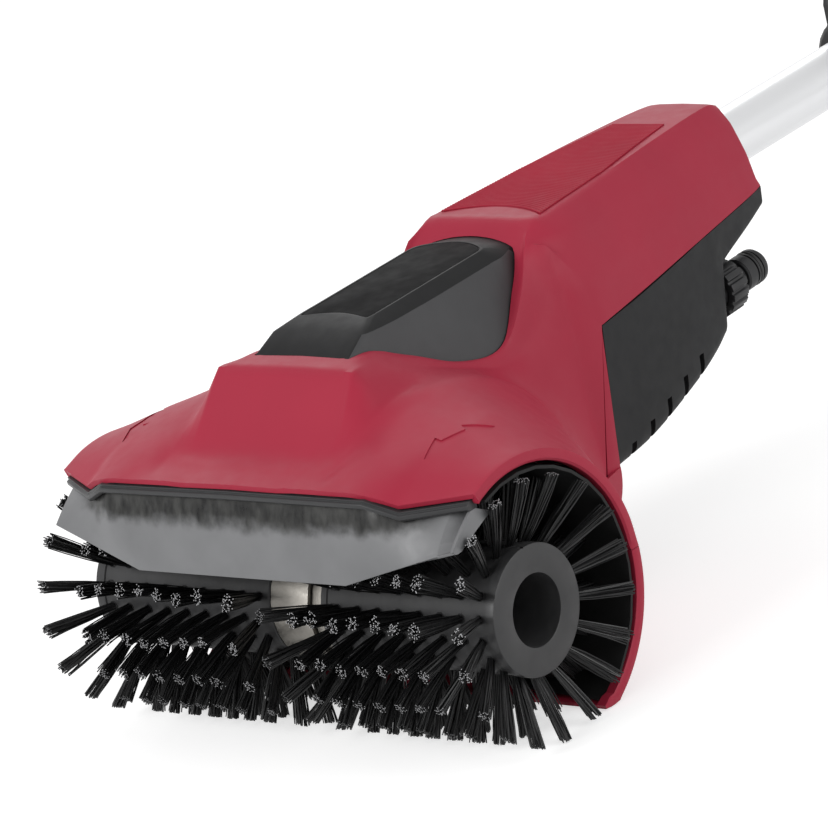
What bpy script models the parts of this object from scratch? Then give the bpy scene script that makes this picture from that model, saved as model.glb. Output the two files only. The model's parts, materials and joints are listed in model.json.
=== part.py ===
"""Patio cleaner: a two-roller brush head under a moulded hood, on a telescopic pole.

Metres throughout. X runs along the brush, Y runs back along the pole and Z is up.
Pieces are drawn about the brush axis; the whole tool is then lifted on to the ground,
where it lies on its brush and on its battery.
"""
import math

import bmesh
import bpy
import numpy as np
from mathutils import Matrix, Vector

# Clearances and walls
GAP = 0.0003
SHELL_WALL = 0.0025
CUT_EXTRA = 0.004
ROUND_SIDES = 24
SMALL_SIDES = 14

# Brush roller
TIP_RADIUS = 0.0590
CORE_RADIUS = 0.0290
CORE_END = 0.1160
LEFT_CORE_START = 0.0113
RIGHT_CORE_START = 0.0183
CORE_BORE_RADIUS = 0.0160
CORE_BORE_DEPTH = 0.0400
END_RING_WIDTH = 0.0055
INNER_RING_WIDTH = 0.0040
BACKING_WALL = 0.0020
TUFT_ROWS = 18
LEFT_TUFT_TURN = math.radians(10)
RIGHT_TUFT_TURN = math.radians(15.5)
SECTOR_ROWS = (5, 4, 5, 4)
STRAIGHT_TUFTS = 7
FIRST_TUFT = 0.0276
TUFT_PITCH = 0.0116
TUFT_LENGTH = 0.0040
TUFT_FLARE = 1.25
OUTER_LEAN = 0.0120
INNER_TIP_X = 0.0090

# Shaft, gearbox and motor
SHAFT_RADIUS = 0.0080
SCREW_HEAD_RADIUS = 0.0065
SCREW_HEAD_LENGTH = 0.0050
SOCKET_RADIUS = 0.0028
WASHER_RADIUS = 0.0130
WASHER_LENGTH = 0.0020
BEARING_RADIUS = 0.0150
BEARING_WIDTH = 0.0045
BEARING_SHOULDER = 0.0030
BEARING_WEB = 0.0009
GEARBOX_RADIUS = 0.0285
GEARBOX_WALL = 0.0035
GEARBOX_LEFT = 0.0110
GEARBOX_RIGHT = 0.0105
GEARBOX_COVER_WIDTH = 0.0072
GEARBOX_COVER_RADIUS = 0.0265
ARM_HALF = 0.0055
ARM_DEPTH_HALF = 0.0125
ARM_BORE_RADIUS = 0.0036
ARM_TILT = math.radians(14)
ARM_LENGTH = 0.1450
FLANGE_RADIUS = 0.0230
FLANGE_LENGTH = 0.0120
MOTOR_RADIUS = 0.0220
MOTOR_LENGTH = 0.0660
MOTOR_BOSS_RADIUS = 0.0085
MOTOR_BOSS_LENGTH = 0.0050
MOTOR_EDGE = 0.0010
MOTOR_TAIL_LENGTH = 0.0040
END_CAP_LENGTH = 0.0050
SHAFT_SOCKET = 0.0100
DRIVE_SHAFT_RADIUS = 0.0030
PINION_TEETH = 7
GEAR_RATIO = 3
PINION_RADIUS = 0.0050
PINION_FACE = 0.0090
PINION_START = 0.0115
TOOTH_DEPTH = 0.0014
FACE_GEAR_RADIUS = 0.0215
FACE_GEAR_PLATE = 0.0030

# Hood and neck
HOOD_END = 0.1196
TIP_CLEARANCE = 0.0040
RIM_RADIUS = TIP_RADIUS + TIP_CLEARANCE
RIM_BAND = 0.0065
HOOD_REACH = 0.0310
HOOD_SWELL = 0.0210
BODY_HALF = 0.0500
LIP_ANGLE = math.radians(122.895)
LIP_PROUD = 0.0230
LIP_Y = (RIM_RADIUS + LIP_PROUD) * math.cos(LIP_ANGLE)
LIP_Z = (RIM_RADIUS + LIP_PROUD) * math.sin(LIP_ANGLE)
LIP_DIP_X = 0.0903
LIP_DIP_LENGTH = 0.0140
LIP_DIP_ANGLE = math.radians(122.489)
LIP_DIP_PROUD = 0.0137
LIP_DIP_Y = (RIM_RADIUS + LIP_DIP_PROUD) * math.cos(LIP_DIP_ANGLE)
LIP_DIP_Z = (RIM_RADIUS + LIP_DIP_PROUD) * math.sin(LIP_DIP_ANGLE)
LIP_END_ANGLE = math.radians(111)
NECK_TOP = 0.1180
NECK_END = 0.3130
NECK_END_HALF = 0.0310
SEAM_FRONT_Y = 0.1380
SEAM_TOP_Y = 0.1580
SEAM_TOP_Z = 0.0650
SEAM_END_Z = 0.0730
SEAM_OVERRUN = 0.0030
SKIRT_ANGLE = math.radians(53.842)
SKIRT_PROUD = 0.0014
SKIRT_DROP = (RIM_RADIUS + SKIRT_PROUD) * math.sin(SKIRT_ANGLE)
SKIRT_EDGE_Y = (RIM_RADIUS + SKIRT_PROUD) * math.cos(SKIRT_ANGLE)
STRIP_WIDTH = 0.0110
LINER_WALL = 0.0014
LINER_GAP = 0.0009
LINER_INSET = 0.0008
ARM_SLOT_GAP = 0.0005
FLOOR_STATIONS = ((0.1850, 0.0005), (0.2270, 0.0090), (0.2480, 0.0150), (0.2580, 0.0220), (0.2645, 0.0480),
                  (0.2720, 0.0560), (0.2960, 0.0640), (NECK_END, 0.0685))
FLOOR_FRONT_Z = -0.0015
VENTS = 5
VENT_FIRST_Y = 0.1630
VENT_PITCH = 0.0165
VENT_WIDTH = 0.0040
VENT_FIRST_Z = -0.0200
VENT_HEIGHT = 0.0250
VENT_RISE = 0.0040

# Badge cover
BADGE_FRONT = 0.0428
BADGE_REAR = 0.1258
BADGE_TOP = 0.1142
BADGE_HALF = 0.0205
BADGE_BEVEL = 0.0065
BADGE_BEVEL_DROP = 0.0050
BADGE_BEVEL_FRONT = 0.0085
BADGE_BEVEL_REAR = 0.0110
BADGE_SPREAD = 0.0015
BADGE_DEPTH = 0.0400
BADGE_FOOT_FRONT = 0.0380
BADGE_FOOT_REAR = 0.0170
BADGE_FLARE = 0.0110
BADGE_CORNER = 0.0060
BADGE_REAR_CORNER = 0.0040
BADGE_CUT_LENGTH = 0.0120
BADGE_CUT_WIDTH = 0.0100

# Splash guard
GUARD_CENTRE_HALF = 0.0600
GUARD_END = 0.1150
GUARD_ANGLE = math.radians(149.459)
GUARD_CLEARANCE = 0.0016
GUARD_BOTTOM_Y = (TIP_RADIUS + GUARD_CLEARANCE) * math.cos(GUARD_ANGLE)
GUARD_BOTTOM_Z = (TIP_RADIUS + GUARD_CLEARANCE) * math.sin(GUARD_ANGLE)
GUARD_END_BACK = 0.0093
GUARD_END_RISE = 0.0146
GUARD_WALL = 0.0016
GUARD_BOW = 0.0010
FRAME_HEIGHT = 0.0046
FRAME_DEPTH = 0.0050

# Water inlet
INLET_INSET = 0.0240
INLET_X = BODY_HALF - INLET_INSET
INLET_Y = 0.2672
INLET_Z = 0.0364
INLET_TILT = math.radians(1)
INLET_RADIUS = 0.0090
NUT_RADIUS = 0.0132
NUT_LENGTH = 0.0135
NUT_RIBS = 12
NUT_RIB_DEPTH = 0.0011
NIPPLE_RADIUS = 0.0086
NIPPLE_BORE_RADIUS = 0.0050
NIPPLE_NECK_RADIUS = 0.0062
FLANGE_WIDTH = 0.0020
GROOVE_WIDTH = 0.0026
GROOVE_DEPTH = 0.0016
NOSE_LENGTH = 0.0044
NOSE_TAPER = 0.0014
WATER_TUBE_RADIUS = NIPPLE_BORE_RADIUS - 0.0006
SPRAY_BAR_RADIUS = 0.0040
SPRAY_BAR_HALF = 0.0720
SPRAY_STANDOFF = 0.0075
SPRAY_RING_RADIUS = RIM_RADIUS + SPRAY_STANDOFF
SPRAY_ANGLE = math.radians(100)
NOZZLE_RADIUS = 0.0028
NOZZLES = 4

# Pole
POLE_Z = 0.0886
TUBE_RADIUS = 0.0140
TUBE_WALL = 0.0013
TUBE_START = 0.2620
TUBE_END = 0.7350
OUTER_TUBE_RADIUS = 0.0160
OUTER_TUBE_START = 0.4560
OUTER_TUBE_END = 0.8150
SOCKET_LENGTH = 0.0380
CLAMP_RADIUS = 0.0220
CLAMP_START = 0.4420
CLAMP_LENGTH = 0.0520
CLAMP_STEP = 0.0120
CLAMP_TAPER = 0.0025
LEVER_LENGTH = 0.0460
LEVER_WIDTH = 0.0180
LEVER_THICKNESS = 0.0070
LEVER_PIN_RADIUS = 0.0025
EAR_WIDTH = 0.0045
EAR_HALF = 0.0060

# Front handle
GRIP_CLAMP_Y = 0.6300
GRIP_CLAMP_LENGTH = 0.0400
GRIP_CLAMP_HALF = 0.0260
GRIP_CLAMP_CROWN = 0.0100
GRIP_CLAMP_FLOOR = 0.0060
GRIP_CLAMP_EDGE = 0.0040
GRIP_PIVOT_RISE = 0.0300
BAIL_RADIUS = 0.0095
BAIL_FOOT_RADIUS = 0.0072
BAIL_FOOT_RISE = 0.0280
BAIL_WIDE_RISE = 0.0600
BAIL_HALF = 0.0560
BAIL_TAPER = 0.0060
BAIL_RISE = 0.1050
BAIL_GRIP_RADIUS = 0.0140
BAIL_GRIP_HALF = 0.0270
HUB_RADIUS = 0.0130
HUB_HALF = 0.0080
BOLT_RADIUS = 0.0042
BOLT_HEAD_RADIUS = 0.0080
BOLT_HEAD_LENGTH = 0.0050
BOLT_OVERHANG = 0.0120
KNOB_RADIUS = 0.0180
KNOB_LENGTH = 0.0180

# Rear handle
HANDLE_START = 0.7950
HANDLE_LENGTH = 0.2620
HANDLE_HALF = 0.0180
HANDLE_TOP = 0.0210
HANDLE_BASE_Z = 0.0020
LOOP_FRONT = 0.1120
LOOP_REAR = 0.2300
LOOP_FLOOR_Z = 0.0140
LOOP_ROOF_Z = 0.0680
NOSE_DROP = 0.0220
TRIGGER_LENGTH = 0.0460
TRIGGER_HALF = 0.0080
TRIGGER_DROP = 0.0150
LOCK_RADIUS = 0.0060
LOCK_PROUD = 0.0050
SWITCH_SIZE = (0.0140, 0.0300, 0.0110)
DOCK_HALF = 0.0340
DOCK_HEIGHT = 0.0140
DOCK_FRONT = 0.1240
DOCK_NOSE = 0.0140
DOCK_EDGE = 0.0025
BATTERY_EDGE = 0.0050
BATTERY_HALF = 0.0380
BATTERY_LENGTH = 0.1400
BATTERY_FRONT_REACH = 0.0060
LATCH_LEVEL = -0.0240
RAIL_NECK_HALF = 0.0170
RAIL_HEAD_HALF = 0.0210
RAIL_NECK_HEIGHT = 0.0034
RAIL_HEAD_HEIGHT = 0.0036
LATCH_WIDTH = 0.0320
LATCH_HEIGHT = 0.0140
LATCH_DEPTH = 0.0080
LATCH_PROUD = 0.0020

RIM_OUTER = RIM_RADIUS + RIM_BAND + 0.0005
TUBE_HOLE = TUBE_RADIUS + GAP
HANDLE_END = HANDLE_START + HANDLE_LENGTH
FLOOR_Z = -TIP_RADIUS

COLOURS = {
    "red": ((0.36, 0.022, 0.050), 0.42, 0.0),
    "dark": ((0.045, 0.046, 0.048), 0.50, 0.0),
    "black": ((0.010, 0.010, 0.011), 0.60, 0.0),
    "smoke": ((0.19, 0.19, 0.20), 0.35, 0.0),
    "silver": ((0.52, 0.50, 0.46), 0.40, 1.0),
    "steel": ((0.55, 0.55, 0.56), 0.30, 1.0),
    "aluminium": ((0.80, 0.81, 0.82), 0.25, 1.0),
}


def clear_scene():
    """Empty the scene of whatever it opened with."""
    for old in list(bpy.data.objects):
        bpy.data.objects.remove(old, do_unlink=True)


def finish(name):
    """Return the shared material of that name."""
    found = bpy.data.materials.get(name)
    if found:
        return found
    colour, roughness, metallic = COLOURS[name]
    made = bpy.data.materials.new(name)
    made.use_nodes = True
    shader = made.node_tree.nodes["Principled BSDF"]
    shader.inputs["Base Color"].default_value = (*colour, 1.0)
    shader.inputs["Roughness"].default_value = roughness
    shader.inputs["Metallic"].default_value = metallic
    return made


def body(name, origin, parent=None):
    """Make the empty that carries one moving body, on its joint's axis."""
    empty = bpy.data.objects.new(name, None)
    bpy.context.scene.collection.objects.link(empty)
    empty.parent = parent
    empty["origin"] = list(origin)
    base = Vector(parent["origin"]) if parent else Vector()
    empty.location = Vector(origin) - base
    return empty


def piece(name, bm, carrier, look, sharp=32):
    """Turn a mesh drawn about the brush axis into one named piece of a body."""
    bmesh.ops.remove_doubles(bm, verts=bm.verts, dist=1e-6)
    bmesh.ops.recalc_face_normals(bm, faces=bm.faces)
    if bm.calc_volume(signed=True) < 0:
        bmesh.ops.reverse_faces(bm, faces=bm.faces)
    mesh = bpy.data.meshes.new(name)
    bm.to_mesh(mesh)
    bm.free()
    mesh.transform(Matrix.Translation(-Vector(carrier["origin"])))
    mesh.materials.append(finish(look))
    mesh.shade_smooth()
    mesh.set_sharp_from_angle(angle=math.radians(sharp))
    made = bpy.data.objects.new(name, mesh)
    bpy.context.scene.collection.objects.link(made)
    made.parent = carrier
    return made


def cutter(bm, carrier):
    """Make a hidden tool solid for a Boolean."""
    made = piece("cutter", bm, carrier, "dark")
    made.hide_render = True
    made.display_type = "WIRE"
    return made


def combine(target, tool, operation):
    """Leave one exact Boolean on a piece."""
    step = target.modifiers.new(operation.lower(), "BOOLEAN")
    step.operation = operation
    step.solver = "EXACT"
    step.object = tool


def cut(target, bm, carrier):
    combine(target, cutter(bm, carrier), "DIFFERENCE")


def join(target, bm, carrier):
    combine(target, cutter(bm, carrier), "UNION")


def axis_frame(origin, direction):
    """Matrix whose local Z runs along direction from origin."""
    turn = Vector(direction).to_track_quat("Z", "Y").to_matrix().to_4x4()
    return Matrix.Translation(Vector(origin)) @ turn


ALONG_X = (1, 0, 0)
ALONG_Y = (0, 1, 0)


def turned(profile, origin, direction, sides=ROUND_SIDES):
    """Revolve a closed outline of (radius, height) pairs about an axis."""
    bm = bmesh.new()
    place = axis_frame(origin, direction)
    rings = []
    for radius, height in profile:
        if radius < 1e-7:
            rings.append([bm.verts.new(place @ Vector((0, 0, height)))])
            continue
        angles = [2 * math.pi * side / sides for side in range(sides)]
        rings.append([bm.verts.new(place @ Vector((radius * math.cos(a), radius * math.sin(a), height)))
                      for a in angles])
    pairs = list(zip(rings, rings[1:] + rings[:1]))
    for low, high in pairs:
        bridge(bm, low, high)
    return bm


def bridge(bm, low, high):
    """Fill the band between two rings, either of which may be a single point."""
    if len(low) == 1 and len(high) == 1:
        return
    count = max(len(low), len(high))
    for side in range(count):
        after = (side + 1) % count
        if len(low) == 1:
            bm.faces.new((low[0], high[after], high[side]))
        elif len(high) == 1:
            bm.faces.new((low[side], low[after], high[0]))
        else:
            bm.faces.new((low[side], low[after], high[after], high[side]))


def rod(radius, start, end, sides=SMALL_SIDES):
    """Solid cylinder between two points."""
    run = Vector(end) - Vector(start)
    return turned([(0, 0), (radius, 0), (radius, run.length), (0, run.length)], start, run, sides)


def pipe(outer, inner, start, end, sides=SMALL_SIDES):
    """Hollow cylinder between two points."""
    run = Vector(end) - Vector(start)
    return turned([(inner, 0), (outer, 0), (outer, run.length), (inner, run.length)], start, run, sides)


def slab(outline, low, high, plane):
    """Extrude a flat outline; plane names its two axes and the rest is the depth."""
    bm = bmesh.new()
    order = {"YZ": (2, 0, 1), "XZ": (0, 2, 1), "XY": (0, 1, 2)}[plane]
    rings = []
    for depth in (low, high):
        ring = []
        for first, second in outline:
            values = (first, second, depth)
            ring.append(bm.verts.new([values[order[axis]] for axis in range(3)]))
        rings.append(ring)
    bridge(bm, rings[0], rings[1])
    bm.faces.new(rings[0])
    bm.faces.new(rings[1])
    return bm


def block(low, high, edge=0.0, segments=2):
    """Box between two corners, with rounded edges if asked."""
    bm = bmesh.new()
    size = Vector(high) - Vector(low)
    middle = (Vector(high) + Vector(low)) / 2
    bmesh.ops.create_cube(bm, size=1.0, matrix=Matrix.Translation(middle) @ Matrix.Diagonal((*size, 1)))
    if edge:
        bmesh.ops.bevel(bm, geom=bm.edges[:], offset=edge, segments=segments, profile=0.5, affect="EDGES")
    return bm


def rounded(corners, steps=3):
    """Replace each (a, b, radius) corner of a closed outline by an arc."""
    points = []
    count = len(corners)
    for index, (a, b, radius) in enumerate(corners):
        here = Vector((a, b))
        back = (Vector(corners[index - 1][:2]) - here).normalized()
        ahead = (Vector(corners[(index + 1) % count][:2]) - here).normalized()
        if radius <= 0:
            points.append(tuple(here))
            continue
        half = back.angle(ahead) / 2
        reach = radius / math.tan(half)
        centre = here + (back + ahead).normalized() * (radius / math.sin(half))
        start = here + back * reach - centre
        end = here + ahead * reach - centre
        sweep = start.angle_signed(end)
        for step in range(steps + 1):
            turn = Matrix.Rotation(-sweep * step / steps, 2)
            points.append(tuple(centre + turn @ start))
    return points


def swept(path, radii, sides=12, squash=1.0):
    """Tube of changing radius along a list of points, with closed ends."""
    bm = bmesh.new()
    points = [Vector(point) for point in path]
    rings = []
    for index, point in enumerate(points):
        ahead = points[min(index + 1, len(points) - 1)] - points[max(index - 1, 0)]
        place = axis_frame(point, ahead)
        radius = radii[index]
        ring = []
        for side in range(sides):
            angle = 2 * math.pi * side / sides
            ring.append(bm.verts.new(place @ Vector((radius * math.cos(angle) * squash,
                                                     radius * math.sin(angle), 0))))
        rings.append(ring)
    for low, high in zip(rings, rings[1:]):
        bridge(bm, low, high)
    bm.faces.new(rings[0])
    bm.faces.new(rings[-1])
    return bm


def refine(grid, steps):
    """Curve smoothly through the points of a grid along its first index."""
    before = 2 * grid[:1] - grid[1:2]
    after = 2 * grid[-1:] - grid[-2:-1]
    padded = np.concatenate([before, grid, after])
    out = []
    for index in range(len(grid) - 1):
        a, b, c, d = padded[index:index + 4]
        for step in range(steps):
            t = step / steps
            out.append(0.5 * (2 * b + (c - a) * t + (2 * a - 5 * b + 4 * c - d) * t ** 2
                              + (3 * b - a - 3 * c + d) * t ** 3))
    out.append(grid[-1])
    return np.array(out)


def sheet(grid):
    """Mesh of quads over a grid of points; absent points are None."""
    bm = bmesh.new()
    verts = {key: bm.verts.new(point) for key, point in grid.items()}
    for row, column in grid:
        corners = [(row, column), (row, column + 1), (row + 1, column + 1), (row + 1, column)]
        if all(corner in verts for corner in corners):
            bm.faces.new([verts[corner] for corner in corners])
    return bm


def walled(target, wall):
    """Give an open sheet its wall, inward from the drawn side."""
    step = target.modifiers.new("wall", "SOLIDIFY")
    step.thickness = wall
    step.offset = -1
    step.use_even_offset = True


def hood_centre(x):
    """Y of the centre of the wheel-arch circle at a distance from the middle."""
    return HOOD_REACH * (HOOD_END - abs(x)) / (HOOD_END - BODY_HALF)


def hood_radius(x):
    """Radius of the wheel-arch circle at a distance from the middle."""
    share = (HOOD_END - abs(x)) / (HOOD_END - BODY_HALF)
    return RIM_OUTER + HOOD_SWELL * share ** 1.25


def lip_point(x):
    """Front lower edge of the hood: straight, then dipping, then swept back."""
    x = abs(x)
    end_y = RIM_OUTER * math.cos(LIP_END_ANGLE)
    end_z = RIM_OUTER * math.sin(LIP_END_ANGLE)
    reaches = (0.0, LIP_DIP_X - LIP_DIP_LENGTH, LIP_DIP_X, HOOD_END)
    y = np.interp(x, reaches, (LIP_Y, LIP_Y, LIP_DIP_Y, end_y))
    z = np.interp(x, reaches, (LIP_Z, LIP_Z - 0.0005, LIP_DIP_Z, end_z))
    return float(y), float(z)


def arch_column(x, rows):
    """Section of the hood at one x: lip, front skirt, then round to the seam."""
    centre, radius = hood_centre(x), hood_radius(x)
    share = (HOOD_END - abs(x)) / (HOOD_END - BODY_HALF)
    crown = math.radians(75 + 30 * share)
    joint = Vector((centre + radius * math.cos(crown), radius * math.sin(crown)))
    lip = Vector(lip_point(x))
    along = Vector((-math.sin(crown), math.cos(crown)))
    pull = joint + along * 0.525 * (joint - lip).length
    points = []
    for step in range(3):
        t = step / 3
        points.append(lip * (1 - t) ** 2 + pull * 2 * t * (1 - t) + joint * t ** 2)
    below = math.asin(SEAM_OVERRUN / radius)
    for step in range(rows - 3):
        angle = crown - (crown + below) * step / (rows - 4)
        points.append(Vector((centre + radius * math.cos(angle), radius * math.sin(angle))))
    return [(x, point.x, point.y) for point in points]


# Stations of the centre body: y and height of the middle, half width of the flat top, then
# (x, y, z) of the shoulder, of the side wall and of the line where the wheel arch meets it
HOOD_STATIONS = (
    (LIP_Y, LIP_Z, 0.0280, (0.0360, LIP_Y, LIP_Z), (0.0420, LIP_Y, LIP_Z), (0.0480, LIP_Y, LIP_Z)),
    (-0.0330, 0.0740, 0.0280, (0.0370, -0.0330, 0.0740), (0.0430, -0.0330, 0.0740),
     (0.0490, -0.0320, 0.0742)),
    (-0.0190, 0.0795, 0.0330, (0.0400, -0.0190, 0.0795), (0.0450, -0.0180, 0.0800),
     (0.0500, -0.0160, 0.0805)),
    (0.0050, 0.1048, 0.0310, (0.0375, 0.0050, 0.1030), (0.0435, 0.0060, 0.0950),
     (0.0495, 0.0040, 0.0872)),
    (0.0280, 0.1045, 0.0275, (0.0330, 0.0280, 0.0995), (0.0405, 0.0270, 0.0955),
     (0.0480, 0.0240, 0.0885)),
    (0.0500, 0.0955, 0.0290, (0.0345, 0.0500, 0.0930), (0.0405, 0.0480, 0.0900),
     (0.0465, 0.0450, 0.0865)),
    (0.0760, 0.0830, 0.0330, (0.0375, 0.0760, 0.0810), (0.0415, 0.0740, 0.0802),
     (0.0460, 0.0670, 0.0812)),
    (0.1030, 0.0785, 0.0345, (0.0390, 0.1030, 0.0772), (0.0430, 0.0980, 0.0740),
     (0.0462, 0.0920, 0.0665)),
    (0.1280, 0.0985, 0.0310, (0.0400, 0.1260, 0.0950), (0.0465, 0.1230, 0.0740),
     (0.0485, 0.1130, 0.0400)),
    (0.1460, NECK_TOP, 0.0315, (0.0400, 0.1450, 0.1085), (0.0485, 0.1440, 0.0720),
     (BODY_HALF, SEAM_FRONT_Y, -SEAM_OVERRUN)),
)
NECK_STATIONS = (
    (0.1600, NECK_TOP, 0.0310, (0.0400, 0.1600, 0.1085), (0.0475, 0.1600, 0.0860),
     (BODY_HALF, SEAM_TOP_Y, SEAM_TOP_Z - SEAM_OVERRUN)),
    (0.2000, NECK_TOP, 0.0275, (0.0355, 0.2000, 0.1085), (0.0425, 0.2000, 0.0880),
     (0.0465, 0.2000, 0.0675 - SEAM_OVERRUN)),
    (0.2550, NECK_TOP, 0.0215, (0.0295, 0.2550, 0.1080), (0.0362, 0.2550, 0.0890),
     (0.0400, 0.2550, 0.0705 - SEAM_OVERRUN)),
    (0.3000, NECK_TOP - 0.0015, 0.0165, (0.0240, 0.3000, 0.1065), (0.0298, 0.3000, 0.0895),
     (0.0335, 0.3000, 0.0722 - SEAM_OVERRUN)),
    (NECK_END, NECK_TOP - 0.0050, 0.0150, (0.0222, NECK_END, 0.1045), (0.0278, NECK_END, 0.0893),
     (NECK_END_HALF, NECK_END, SEAM_END_Z - SEAM_OVERRUN)),
)
ARCH_COLUMNS = (0.0580, LIP_DIP_X - 0.0150, LIP_DIP_X + 0.0007, 0.1060, HOOD_END)


def station_row(station):
    """Half a cross-section of the centre body, from the middle outward."""
    y, z, half, shoulder, side, foot = station
    return [(0.0, y, z), (half, y, z - 0.0004), shoulder, side, foot]


def mirrored_row(half_row):
    """Whole row from its right half, whose first point lies in the middle."""
    left = [(-x, y, z) for x, y, z in reversed(half_row[1:])]
    return left + list(half_row)


def seam_line(shift):
    """Seam in side view, from the front of the hood to behind the neck."""
    feet = [station[5] for station in NECK_STATIONS]
    line = [(-0.0200, 0.0), (SEAM_FRONT_Y, 0.0)]
    line += [(foot[1], foot[2] + SEAM_OVERRUN) for foot in feet]
    line.append((NECK_END + CUT_EXTRA, SEAM_END_Z))
    return [(y + shift, z - shift) for y, z in line]


def side_of_seam(above):
    """Solid that holds everything above or below the seam."""
    high = NECK_TOP + CUT_EXTRA
    level = high if above else -high
    line = seam_line(GAP / 2 if above else -GAP / 2)
    closing = [(line[-1][0], level), (line[0][0], level)]
    reach = HOOD_END + CUT_EXTRA
    return slab(line + closing, -reach, reach, "YZ")


def hood_grid(steps):
    """Points of the outer surface of the red shell, keyed by row and column."""
    columns = [arch_column(x, len(HOOD_STATIONS)) for x in ARCH_COLUMNS]
    hood_rows = []
    for index, station in enumerate(HOOD_STATIONS):
        hood_rows.append(mirrored_row(station_row(station) + [column[index] for column in columns]))
    neck_rows = [mirrored_row(station_row(station)) for station in NECK_STATIONS]
    hood = np.array(hood_rows)
    neck = np.array(neck_rows)
    side = len(ARCH_COLUMNS)
    width = hood.shape[1]
    middle = hood[:, side:width - side]
    joined = refine(np.concatenate([middle, neck]), steps)
    inner = np.concatenate([joined[:steps * len(middle)], neck[1:]])
    left = refine(hood[:, :side], steps)
    right = refine(hood[:, width - side:], steps)
    grid = {}
    for row, points in enumerate(inner):
        for column, point in enumerate(points):
            grid[row, side + column] = Vector(point)
    for row in range(len(left)):
        for column in range(side):
            grid[row, column] = Vector(left[row, column])
            grid[row, width - side + column] = Vector(right[row, column])
    add_rim(grid, len(left), width)
    add_neck_end(grid, len(inner), side, inner.shape[1])
    return grid


def add_rim(grid, rows, width):
    """Turn the two ends of the hood inward to the rim round the brush."""
    for row in range(rows):
        for column, outside in ((0, -1), (width - 1, width)):
            edge = grid[row, column]
            shrink = RIM_RADIUS / math.hypot(edge.y, edge.z)
            grid[row, outside] = Vector((edge.x, edge.y * shrink, edge.z * shrink))


def toward_tube(point, radius):
    """Point on a circle round the pole, in line with a point outside it."""
    away = Vector((point.x, point.z - POLE_Z)).normalized() * radius
    return Vector((away.x, NECK_END, POLE_Z + away.y))


def add_neck_end(grid, rows, first, count):
    """Close the back of the neck down to the hole for the pole."""
    for column in range(first, first + count):
        grid[rows, column] = toward_tube(grid[rows - 1, column], TUBE_HOLE)


def neck_hole():
    """Hole for the pole in the end wall of the neck."""
    return rod(TUBE_HOLE, (0, NECK_END - 0.010, POLE_Z), (0, NECK_END + 0.010, POLE_Z), ROUND_SIDES)


def badge_block(grow, deeper=0.0):
    """Trapezoid cover as stacked outlines: label face, bevel, then flared sides."""
    bevel_half = BADGE_HALF + BADGE_BEVEL
    bevel_z = BADGE_TOP - BADGE_BEVEL_DROP
    foot_half = bevel_half + BADGE_FLARE
    levels = (
        (BADGE_TOP + grow, BADGE_FRONT, BADGE_REAR, BADGE_HALF, BADGE_HALF),
        (bevel_z, BADGE_FRONT - BADGE_BEVEL_FRONT, BADGE_REAR + BADGE_BEVEL_REAR, bevel_half,
         bevel_half + BADGE_SPREAD),
        (BADGE_TOP - BADGE_DEPTH - deeper, BADGE_FRONT - BADGE_FOOT_FRONT, BADGE_REAR - BADGE_FOOT_REAR,
         foot_half, foot_half + BADGE_SPREAD),
    )
    bm = bmesh.new()
    rings = []
    for z, front, rear, front_half, rear_half in levels:
        front -= grow
        rear += grow
        front_half += grow
        rear_half += grow
        turn = rear - BADGE_CUT_LENGTH
        cut_half = rear_half - BADGE_CUT_WIDTH
        outline = rounded([(-front_half, front, BADGE_CORNER), (front_half, front, BADGE_CORNER),
                           (rear_half, turn, BADGE_REAR_CORNER), (cut_half, rear, BADGE_REAR_CORNER),
                           (-cut_half, rear, BADGE_REAR_CORNER), (-rear_half, turn, BADGE_REAR_CORNER)], 2)
        rings.append([bm.verts.new((x, y, z)) for x, y in outline])
    for low, high in zip(rings, rings[1:]):
        bridge(bm, low, high)
    bm.faces.new(rings[0])
    bm.faces.new(rings[-1])
    return bm


def make_top_shell(root):
    """Red upper half of the hood and neck, with the pocket for the badge cover."""
    shell = piece("top_shell", sheet(hood_grid(2)), root, "red")
    walled(shell, SHELL_WALL)
    cut(shell, side_of_seam(False), root)
    cut(shell, badge_block(3 * GAP, 0.001), root)
    cut(shell, neck_hole(), root)


def make_badge_cover(root):
    cover = piece("badge_cover", badge_block(0.0), root, "dark")
    cut(cover, badge_block(-SHELL_WALL, 0.002), root)


def skirt_back(x):
    """Y of the rear skirt where it leaves the seam."""
    if abs(x) <= BODY_HALF:
        return SEAM_FRONT_Y + STRIP_WIDTH
    return hood_centre(x) + hood_radius(x)


def make_rear_hood(root):
    """Red lower rear half of the hood: a bowl behind the brush, open towards it."""
    half = (0.0, BODY_HALF) + ARCH_COLUMNS
    columns = [-x for x in reversed(half[1:])] + list(half)
    rows = 6
    grid = {}
    for column, x in enumerate(columns):
        reach = skirt_back(x) - SKIRT_EDGE_Y
        for row in range(rows + 1):
            angle = math.pi / 2 * (row - 0.3) / (rows - 0.3)
            y = SKIRT_EDGE_Y + reach * math.cos(angle)
            grid[row, column] = Vector((x, y, -SKIRT_DROP * math.sin(angle)))
    for row in range(rows + 1):
        for column, outside in ((0, -1), (len(columns) - 1, len(columns))):
            edge = grid[row, column]
            shrink = min(1.0, RIM_RADIUS / math.hypot(edge.y, edge.z))
            grid[row, outside] = Vector((edge.x, edge.y * shrink, edge.z * shrink))
    hood = piece("rear_hood", sheet(grid), root, "red")
    walled(hood, SHELL_WALL)
    cut(hood, side_of_seam(True), root)
    for side in (-1, 1):
        join(hood, seam_strip(side), root)


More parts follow.
